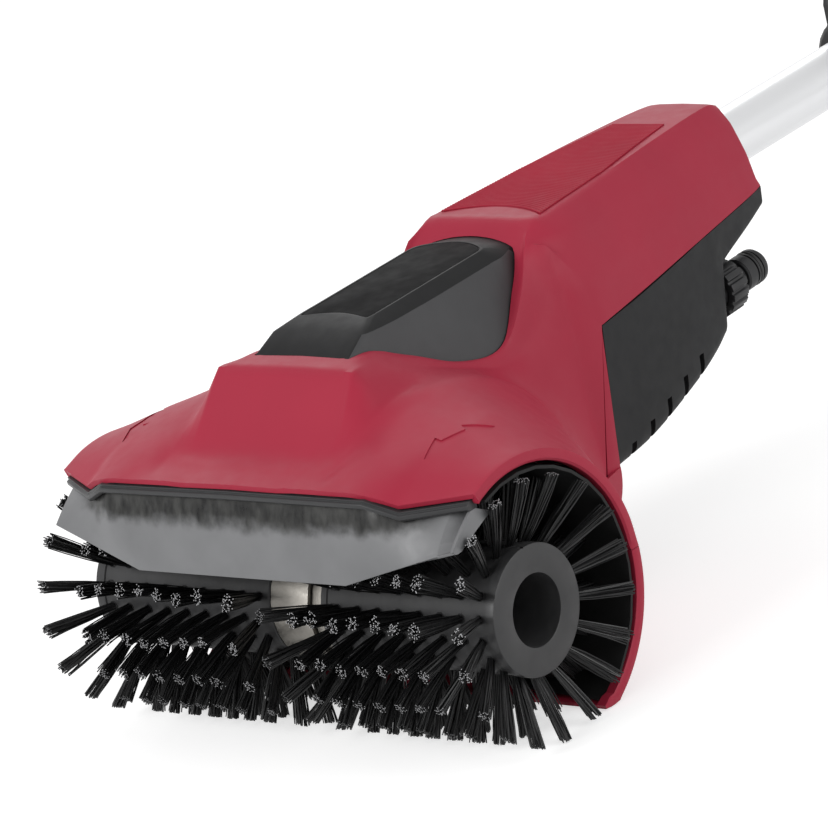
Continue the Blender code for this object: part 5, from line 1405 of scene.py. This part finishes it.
@dataclass
class Brush:
    """Both roller cores with their tufts of single bristles."""

    bench: Bench
    seed: int = 18
    rows: int = 18
    straight: int = 7
    first: float = 0.0276
    pitch: float = 0.0116
    outer_lean: float = 0.0135
    outer_pull: float = 0.15
    inner_gap: float = 0.0028
    inner_tip: float = 0.0090
    tip_radius: float = 0.0589
    core_radius: float = 0.0290
    core_end: float = 0.1160
    ring: float = 0.0055
    inner_ring: float = 0.0040
    bore: float = 0.0160
    bore_depth: float = 0.0400
    tuft_base: float = 0.0016
    tuft_tip: float = 0.0032
    strands: int = 40
    strand_radius: float = 0.00036
    strand_taper: float = 0.15
    strand_bow: float = 0.0004
    skew: Pair = (0.0005, 0.0007)
    spread: Pair = (0.85, 1.15)
    jitter: float = 0.00045
    ragged: float = 0.0007
    along_spread: float = 0.9
    foot_depth: float = 0.0010
    hub: float = 0.0082
    groove: float = 0.0006
    pit: tuple[Pair, ...] = ((0.0018, 0.0), (0.0023, 0.0), (0.0023, 0.0015), (0.0018, 0.0013))
    pit_depth: float = 0.0012
    core_ease: float = 0.0005
    notch_in: float = 0.0012
    notch_half: float = 0.0006
    notch_span: Pair = (-0.0008, 0.0018)
    lefts: tuple[float, float] = (0.0113, math.radians(10))
    rights: tuple[float, float] = (0.0183, math.radians(15.5))
    sectors: int = 4
    sides: int = 4
    levels: tuple[float, ...] = (0.0, 0.4, 0.75, 1.0)
    rng: random.Random = field(init=False)

    def __post_init__(self) -> None:
        """Seed the draws that scatter the bristles."""
        self.rng = random.Random(self.seed)

    def columns(self, start: float) -> list[Pair]:
        """Columns of tufts along half a roller.

        Args:
            start: Distance from the middle to the core.

        Returns:
            Distance of each tuft's foot from the middle, and how far its tip leans outward.
        """
        inner = start + self.inner_ring + self.inner_gap
        leaning = self.first + self.pitch * (self.straight - self.outer_pull)
        straight = [(self.first + self.pitch * step, 0.0) for step in range(self.straight)]
        return [(inner, self.inner_tip - inner), *straight, (leaning, self.outer_lean)]

    def strand(self, foot: Vector, tip: Vector, made: Bristles) -> None:
        """Add one bristle, bent a little, from its foot to its cut end.

        Args:
            foot: Point in the core.
            tip: Cut end.
            made: Mesh that it is added to.
        """
        along = (tip - foot).normalized()
        across = along.orthogonal().normalized()
        across.rotate(Matrix.Rotation(self.rng.random() * math.tau, 3, along))
        third = along.cross(across)
        bow = (across * self.rng.gauss(0, 1) + third * self.rng.gauss(0, 1)) * self.strand_bow
        first = len(made.verts)
        for level in self.levels:
            middle = foot.lerp(tip, level) + bow * math.sin(math.pi * level)
            radius = self.strand_radius * (1 - self.strand_taper * level)
            for side in range(self.sides):
                angle = math.tau * side / self.sides
                made.verts.append(middle + across * (radius * math.cos(angle)) + third * (radius * math.sin(angle)))
        for level in range(len(self.levels) - 1):
            low = first + level * self.sides
            for side in range(self.sides):
                after = (side + 1) % self.sides
                made.faces.append((low + side, low + after, low + self.sides + after, low + self.sides + side))
        last = first + (len(self.levels) - 1) * self.sides
        made.ends.append(len(made.faces))
        made.faces.append(tuple(last + side for side in range(self.sides)))

    def tuft(self, foot: Vector, lean: float, made: Bristles) -> None:
        """Add one tuft of bristles that spreads towards its tips.

        Args:
            foot: Middle of its hole in the core.
            lean: Distance along the brush from foot to tip.
            made: Mesh that it is added to.
        """
        radial = Vector((0, foot.y, foot.z)).normalized()
        tangent = Vector((1, 0, 0)).cross(radial)
        skew = self.rng.gauss(0, self.skew[0]), self.rng.gauss(0, self.skew[1])
        spread = self.tuft_tip * self.rng.uniform(*self.spread)
        for _ in range(self.strands):
            angle = self.rng.random() * math.tau
            share = math.sqrt(self.rng.random())
            flat = Vector((math.cos(angle), math.sin(angle))) * share
            jitter = self.rng.gauss(0, self.jitter), self.rng.gauss(0, self.jitter)
            base = foot + Vector((flat.x * self.tuft_base, 0, 0)) + tangent * flat.y * self.tuft_base
            length = self.tip_radius - abs(self.rng.gauss(0, self.ragged))
            across = flat.y * spread + skew[1] + jitter[1]
            reach = math.sqrt(max(length ** 2 - across ** 2, 0.0))
            tip = radial * reach + tangent * across
            tip.x = foot.x + lean + flat.x * spread * self.along_spread + skew[0] + jitter[0]
            self.strand(base, tip, made)

    def row_angles(self, turn: float) -> list[float]:
        """Angle of each row of tufts round the axis, from a first row turned from straight down."""
        return [-math.pi / 2 + turn + math.tau * row / self.rows for row in range(self.rows)]

    def make_bristles(self, side: int, name: str, start: float, turn: float) -> None:
        """All the tufts of one roller half.

        Args:
            side: 1 for the right, -1 for the left.
            name: Name of the half.
            start: Distance from the middle to the core.
            turn: Turn of its first row from straight down.
        """
        bristles = Bristles()
        radius = self.core_radius - self.foot_depth
        for angle in self.row_angles(turn):
            for along, lean in self.columns(start):
                foot = Vector((side * along, radius * math.cos(angle), radius * math.sin(angle)))
                self.tuft(foot, side * lean, bristles)
        mesh = bpy.data.meshes.new(f"tufts_{name}")
        mesh.from_pydata([vert + STAND for vert in bristles.verts], [], bristles.faces)
        mesh.materials.append(NYLON.material())
        # The cut ends take the painted glint.
        mesh.materials.append(PAINTED_TIP_GLINT.material())
        index = np.zeros(len(bristles.faces), np.int32)
        index[bristles.ends] = 1
        mesh.polygons.foreach_set("material_index", index)
        mesh.shade_smooth()
        made = bpy.data.objects.new(f"tufts_{name}", mesh)
        bpy.context.scene.collection.objects.link(made)
        self.bench.soften(made, 60.0)
        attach(made, Body.ROLLER.value)
        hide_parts(*(f"bristles_{name}_{part}" for part in range(1, self.sectors + 1)))
        LOG.info("tufts_%s has %d bristles", name, len(bristles.ends))

    def make_core(self, side: int, name: str, start: float, turn: float) -> None:
        """Roller core with its end ring, its bore and the pits that hold the tufts.

        Args:
            side: 1 for the right, -1 for the left.
            name: Name of the half.
            start: Distance from the middle to the core.
            turn: Turn of its first row from straight down.
        """
        seat = self.core_end - self.bore_depth
        r, e, c = self.core_radius, self.core_end, self.core_ease
        flat = r - self.groove
        profile = [(self.hub, start), (r - c, start), (r, start + c), (r, start + self.inner_ring - c),
                   (flat, start + self.inner_ring), (flat, e - self.ring), (r, e - self.ring + c), (r, e - c),
                   (r - c * 0.35, e - c * 0.3), (r - c, e), (self.bore + c, e), (self.bore + c * 0.3, e - c * 0.3),
                   (self.bore, e - c), (self.bore, seat), (self.hub, seat)]
        pits = []
        for angle in self.row_angles(turn):
            radial = Vector((0, math.cos(angle), math.sin(angle)))
            for along, _ in self.columns(start):
                at = Vector((side * along, 0, 0)) + radial * (flat - self.pit_depth)
                pits.append(lathe(self.pit, at, radial, 10))
        core = lathe(profile, (0, 0, 0), (side, 0, 0), 144)
        half, notches = self.notch_half, []
        start_x, end_x = (side * (e - self.notch_in) + reach for reach in self.notch_span)
        for middle in (-(r + 0.0002), r + 0.0002):
            notches.append(block((start_x, -half, middle - half), (end_x, half, middle + half)))
        self.bench.piece(f"core_{name}", core, Body.ROLLER, CORE, Slot.DARK, (f"brush_core_{name}",), cuts=notches)
        self.bench.piece(f"tuft_collars_{name}", together(*pits), Body.ROLLER, CORE, Slot.DARK)

    def build(self) -> None:
        """Make both halves of the roller."""
        for side, name, start, turn in ((-1, "left", *self.lefts), (1, "right", *self.rights)):
            self.make_core(side, name, start, turn)
            self.make_bristles(side, name, start, turn)
        self.bench.dress(STEEL, Slot.STEEL, "output_shaft", "face_gear", "brush_screw_left", "brush_screw_right")


@dataclass
class Drive:
    """Gearbox between the rollers and the motor behind it."""

    bench: Bench
    cover_end: float = 0.0177
    screws: int = 4
    first_screw: float = 45.0
    screw_circle: float = 0.0200
    screw_sink: float = 0.0005
    screw_head: tuple[Pair, ...] = ((0.0, 0.0), (0.0026, 0.0), (0.0026, 0.0014), (0.0021, 0.0019), (0.0010, 0.0019),
                                    (0.0010, 0.0009), (0.0, 0.0009))

    def build(self) -> None:
        """Dress the drive and add the screws of the gearbox."""
        bench = self.bench
        bench.dress(ALLOY, Slot.ALLOY, "gearbox_housing", "gearbox_cover", edge=0.0004)
        bench.dress(STEEL, Slot.STEEL, "bearing_left", "bearing_right", "motor", "drive_shaft", "drive_pinion")
        bench.dress(BLACK, Slot.BLACK, "motor_end_cap")
        heads = []
        for index in range(self.screws):
            angle = math.radians(self.first_screw + 360 / self.screws * index)
            at = Vector((self.cover_end - self.screw_sink, self.screw_circle * math.cos(angle),
                         self.screw_circle * math.sin(angle)))
            heads.append(lathe(self.screw_head, at, (1, 0, 0), 24))
        bench.piece("gearbox_screws", together(*heads), Body.TOOL, STEEL, Slot.STEEL)


# ---- neck, water and pole


@dataclass
class Belly:
    """Dark lower shell of the neck, with its vents."""

    bench: Bench
    hood: Hood
    stations: tuple[Pair, ...] = ((0.1493, -0.0035), (0.1850, -0.0008), (0.2270, 0.0075), (0.2480, 0.0135),
                                  (0.2590, 0.0185), (0.2665, 0.0500), (0.2745, 0.0525), (0.2960, 0.0580),
                                  (0.3130, 0.0625))
    edge: tuple[Pair, ...] = ((0.0, 0.0), (0.0004, 0.35), (0.0010, 0.78), (0.0026, 0.935), (0.0062, 0.99))
    flat: float = 0.0120
    gap: float = 0.0004
    wall: float = 0.0025
    vents: int = 5
    vent_half: float = 0.0700
    vent_at: Pair = (0.163, -0.0100)
    vent_step: Pair = (0.0165, 0.0040)
    vent_width: float = 0.0040
    inlet_gap: float = 0.0003

    def build(self) -> None:
        """Make the belly as one skin with rounded lower edges."""
        hood = self.hood
        feet = [station.foot for station in hood.neck]
        ys, halves, seams = [foot[1] for foot in feet], [foot[0] for foot in feet], [foot[2] for foot in feet]
        lean = (hood.seam_top[0] - hood.seam_front - hood.strip) / hood.seam_top[1]
        rows = []
        for row, (y, floor) in enumerate(self.stations):
            half, seam = float(np.interp(y, ys, halves)), float(np.interp(y, ys, seams)) - self.gap
            depth = seam - floor
            share = max(0.0, 1 - row / 3)
            section = [(half - inward, seam - down * depth) for inward, down in self.edge]
            section += [(half - self.flat, floor), (0.0, floor)]
            rows.append([(x, y + lean * share * max(z, 0.0), z) for x, z in section])
        fine = spline(np.array(rows), 6, (4, 5))
        fine = spline(fine.swapaxes(0, 1), 6, (5,)).swapaxes(0, 1)
        fine = hood.with_end(fine)
        openings = []
        for step in range(self.vents):
            y, z = (at + rise * step for at, rise in zip(self.vent_at, self.vent_step))
            low, high = (-self.vent_half, y, z - 0.010), (self.vent_half, y + self.vent_width, z + 0.0150)
            openings.append(block(low, high))
        inlet = Water(self.bench)
        openings.append(rod(inlet.inlet_radius + self.inlet_gap, inlet.point(-0.030), inlet.point(0.030)))
        self.bench.piece("belly", mirrored_skin(fine), Body.TOOL, DARK, Slot.DARK, ("lower_shell",),
                         wall=self.wall, cuts=openings)


@dataclass
class Water:
    """Water inlet with its ribbed nut, and the tube to the spray bar."""

    bench: Bench
    at: Point = (0.0260, 0.2672, 0.0364)
    tilt: float = math.radians(1)
    inlet_radius: float = 0.0090
    nut_radius: float = 0.0132
    nut_length: float = 0.0135
    ribs: int = 15
    nipple: float = 0.0086
    bore: float = 0.0050
    gap: float = 0.0003
    nut_step: float = 0.86
    rib_low: Pair = (0.0014, 0.0001)
    rib_high: Pair = (0.0024, 0.0014)
    rib_shares: Pair = (0.38, 0.28)
    tail_start: float = 0.0103
    seal_at: float = 0.0184
    seal: Pair = (0.00085, 0.0010)

    @property
    def direction(self) -> Vector:
        """Direction in which the hose leaves."""
        return Vector((0, math.cos(self.tilt), math.sin(self.tilt)))

    def point(self, along: float) -> Vector:
        """Point on the axis of the inlet."""
        return Vector(self.at) + self.direction * along

    def build(self) -> None:
        """Make the nut, the nipple and its seal, and dress what is inside."""
        length, r, hole = self.nut_length, self.nut_radius, self.inlet_radius + self.gap
        step = length * self.nut_step
        place = frame_along(self.point(0.0), self.direction)
        rings = []
        for (foot, top), start, end in ((self.rib_low, 0.0, step), (self.rib_high, step, length)):
            ribs = teeth(self.ribs, r - foot, r - top, *self.rib_shares)
            rings.append(ring_prism(ribs, hole, start, end, place))
        self.bench.piece("ribbed_nut", together(*rings), Body.NUT, BLACK, Slot.BLACK, ("union_nut",), edge=0.0002)
        n, bore, neck, groove = self.nipple, self.bore, 0.0066, self.nipple - 0.0013
        tail = [(bore, 0.0), (self.inlet_radius - 0.0006, 0.0), (self.inlet_radius - 0.0006, 0.0035),
                (neck, 0.0037), (neck, 0.0092), (n - 0.0008, 0.0094), (n, 0.0102), (n, 0.0158), (groove, 0.0160),
                (groove, 0.0168), (n - 0.0001, 0.0170), (n - 0.0001, 0.0182), (groove, 0.0184), (groove, 0.0210),
                (n - 0.0001, 0.0212), (n, 0.0228), (n - 0.0002, 0.0238), (n - 0.0014, 0.0255), (bore, 0.0255)]
        self.bench.piece("nipple", lathe(tail, self.point(self.tail_start), self.direction, 64), Body.TOOL, BLACK,
                         Slot.BLACK, ("hose_tail",))
        thick, tall = self.seal
        round_seal = [(n - 0.00075 + thick * math.cos(a), 0.0013 + tall * math.sin(a))
                      for a in (math.tau * side / 12 for side in range(12))]
        seal = lathe(round_seal, self.point(self.tail_start + self.seal_at), self.direction, 64)
        self.bench.piece("round_seal", seal, Body.TOOL, RUBBER, Slot.RUBBER, ("seal_ring",))
        self.bench.dress(BLACK, Slot.BLACK, "inlet_body", "water_tube", "spray_bar", "tube_socket")


@dataclass
class Pole:
    """Telescopic tubes with their clamp and its lever."""

    bench: Bench
    inner: float = 0.0140
    outer: float = 0.0160
    wall: float = 0.0013
    play: float = 0.00045
    ease: float = 0.0003
    slim: Pair = (0.2620, 0.7350)
    wide: Pair = (0.4560, 0.8150)

    def tube(self, radius: float, hole: float, span: Pair) -> bmesh.types.BMesh:
        """Round tube along the pole, with eased ends.

        Args:
            radius: Outer radius.
            hole: Inner radius.
            span: Start and end along the pole.

        Returns:
            Closed mesh.
        """
        (start, end), c = span, self.ease
        profile = [(hole, start), (radius - c, start), (radius, start + c), (radius, end - c), (radius - c, end),
                   (hole, end)]
        return lathe(profile, (0, 0, POLE_Z), (0, 1, 0))

    def build(self) -> None:
        """Make the tubes, and dress the clamp with its lever and pin."""
        bench = self.bench
        bench.piece("slim_tube", self.tube(self.inner, self.inner - self.wall, self.slim), Body.TOOL, TUBE,
                    Slot.ALUMINIUM, ("lower_tube",))
        bench.piece("wide_tube", self.tube(self.outer, self.inner + self.play, self.wide), Body.UPPER, TUBE,
                    Slot.ALUMINIUM, ("upper_tube",))
        bench.dress(BLACK, Slot.BLACK, "pole_clamp", edge=0.0006)
        bench.dress(DARK, Slot.DARK, "clamp_lever", edge=0.0005)
        bench.dress(STEEL, Slot.STEEL, "lever_pin", edge=0.0002)


@dataclass
class Handles:
    """Front bail, rear handle, controls and battery."""

    bench: Bench

    def build(self) -> None:
        """Dress the pieces of both handles."""
        bench = self.bench
        bench.dress(BLACK, Slot.BLACK, "grip_clamp_upper", "grip_clamp_lower", "switch", "battery_dock",
                    "grip_knob", edge=0.0006)
        bench.dress(BLACK, Slot.BLACK, "bail_arm_left", "bail_arm_right")
        bench.dress(FOAM, Slot.BLACK, "bail_grip")
        bench.dress(STEEL, Slot.STEEL, "grip_bolt", edge=0.0003)
        bench.dress(RED, Slot.RED, "handle_left", "handle_right", "battery_release", edge=0.0008)
        bench.dress(BLACK, Slot.BLACK, "trigger", edge=0.0006)
        bench.dress(DARK, Slot.DARK, "lock_off_button", "battery", edge=0.0006)


# ---- studio


@dataclass
class Studio:
    """Floor, lamps, backdrop and the camera of the photograph."""

    eye: Point = (1.59172, -2.11546, 0.88269)
    right: Point = (0.75907, 0.61134, -0.22377)
    down: Point = (0.03753, -0.38425, -0.92247)
    forward: Point = (-0.64993, 0.69182, -0.31462)
    lens: float = 239.13
    floor_half: float = 60.0
    floor_grey: float = 0.62
    floor_glow: float = 0.62
    near_clip: float = 0.05
    far_clip: float = 200.0
    world_light: float = 0.45
    lamps: tuple[tuple[str, Point, float, float], ...] = (
        ("key", (-0.6, -3.0, 1.5), 1.6, 58.0),
        ("top", (0.1, -0.2, 2.6), 2.2, 4.0),
        ("side", (2.4, 0.2, 0.8), 1.4, 26.0),
        ("back", (-1.8, 1.6, 1.8), 1.6, 12.0),
    )
    target: Point = (0.0, -0.42, 0.08)

    def build(self) -> None:
        """Set up everything that isn't part of the tool."""
        self.make_floor()
        self.make_world()
        for name, place, size, watts in self.lamps:
            self.make_lamp(name, place, size, watts)
        self.make_camera()
        bpy.context.scene.view_settings.view_transform = "Standard"
        LOG.info("studio is lit")

    def make_floor(self) -> None:
        """Plain pale floor that a camera, glass or gloss sees as white but for the shadow."""
        bm = bmesh.new()
        h = self.floor_half
        bm.faces.new([bm.verts.new((x, y, 0.0)) for x, y in ((-h, -h), (h, -h), (h, h), (-h, h))])
        mesh = bpy.data.meshes.new("floor")
        bm.to_mesh(mesh)
        bm.free()
        plan = NodePlan("pale floor")
        rays = plan.add("ShaderNodeLightPath").outputs
        seen = plan.math("MAXIMUM", rays["Is Camera Ray"], rays["Is Glossy Ray"])
        grey = self.floor_grey
        for name, value in (("Base Color", (grey, grey, grey, 1.0)), ("Roughness", 0.9), ("Specular IOR Level", 0.0),
                            ("Emission Color", (1.0, 1.0, 1.0, 1.0)),
                            ("Emission Strength", plan.math("MULTIPLY", seen, self.floor_glow))):
            plan.set(plan.shader, name, value)
        mesh.materials.append(plan.material)
        floor = bpy.data.objects.new("floor", mesh)
        bpy.context.scene.collection.objects.link(floor)

    def make_world(self) -> None:
        """White to the camera, to gloss and through glass, and soft grey as a light."""
        world = bpy.data.worlds.new("studio")
        world.use_nodes = True
        bpy.context.scene.world = world
        nodes, links = world.node_tree.nodes, world.node_tree.links
        background = nodes["Background"]
        background.inputs["Color"].default_value = (1.0, 1.0, 1.0, 1.0)
        rays = nodes.new("ShaderNodeLightPath").outputs
        seen = rays["Is Camera Ray"]
        for ray in ("Is Glossy Ray", "Is Transmission Ray"):
            both = nodes.new("ShaderNodeMath")
            both.operation = "MAXIMUM"
            links.new(seen, both.inputs[0])
            links.new(rays[ray], both.inputs[1])
            seen = both.outputs[0]
        level = nodes.new("ShaderNodeMapRange")
        links.new(seen, level.inputs["Value"])
        level.inputs["To Min"].default_value = self.world_light
        level.inputs["To Max"].default_value = 1.0
        links.new(level.outputs["Result"], background.inputs["Strength"])

    def make_lamp(self, name: str, place: Point, size: float, watts: float) -> None:
        """Hang one soft lamp and turn it to the tool.

        Args:
            name: Name of the lamp.
            place: Where it hangs.
            size: Length of its sides.
            watts: Power.
        """
        lamp = bpy.data.lights.new(name, "AREA")
        lamp.energy = watts
        lamp.shape = "SQUARE"
        lamp.size = size
        made = bpy.data.objects.new(name, lamp)
        made.location = place
        aim = Vector(self.target) - Vector(place)
        made.rotation_euler = aim.to_track_quat("-Z", "Y").to_euler()
        bpy.context.scene.collection.objects.link(made)

    def make_camera(self) -> None:
        """Set the camera at the photograph's viewing angle."""
        camera = bpy.data.cameras.new("camera")
        camera.lens = self.lens
        camera.clip_start = self.near_clip
        camera.clip_end = self.far_clip
        made = bpy.data.objects.new("camera", camera)
        turn = Matrix((self.right, [-v for v in self.down], [-v for v in self.forward])).transposed()
        made.matrix_world = Matrix.Translation(Vector(self.eye)) @ turn.to_4x4()
        bpy.context.scene.collection.objects.link(made)
        bpy.context.scene.camera = made


def write_sizes() -> None:
    """Bring the view layer up to date.
    """
    bpy.context.view_layer.update()


def main() -> None:
    """Load the frame and build every sub-assembly in order."""
    logging.basicConfig(level=logging.INFO, format="%(name)s: %(message)s")
    for old in list(bpy.data.objects):
        bpy.data.objects.remove(old)
    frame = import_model()
    bpy.context.view_layer.update()
    bench = Bench(frame)
    hood = Hood(bench)
    badge = Badge(bench)
    hood.build(badge.solid(badge.gap))
    badge.build()
    Guard(bench, hood).build()
    Brush(bench).build()
    Drive(bench).build()
    Belly(bench, hood).build()
    Water(bench).build()
    Pole(bench).build()
    Handles(bench).build()
    Studio().build()
    write_sizes()


if __name__ == "__main__":
    main()
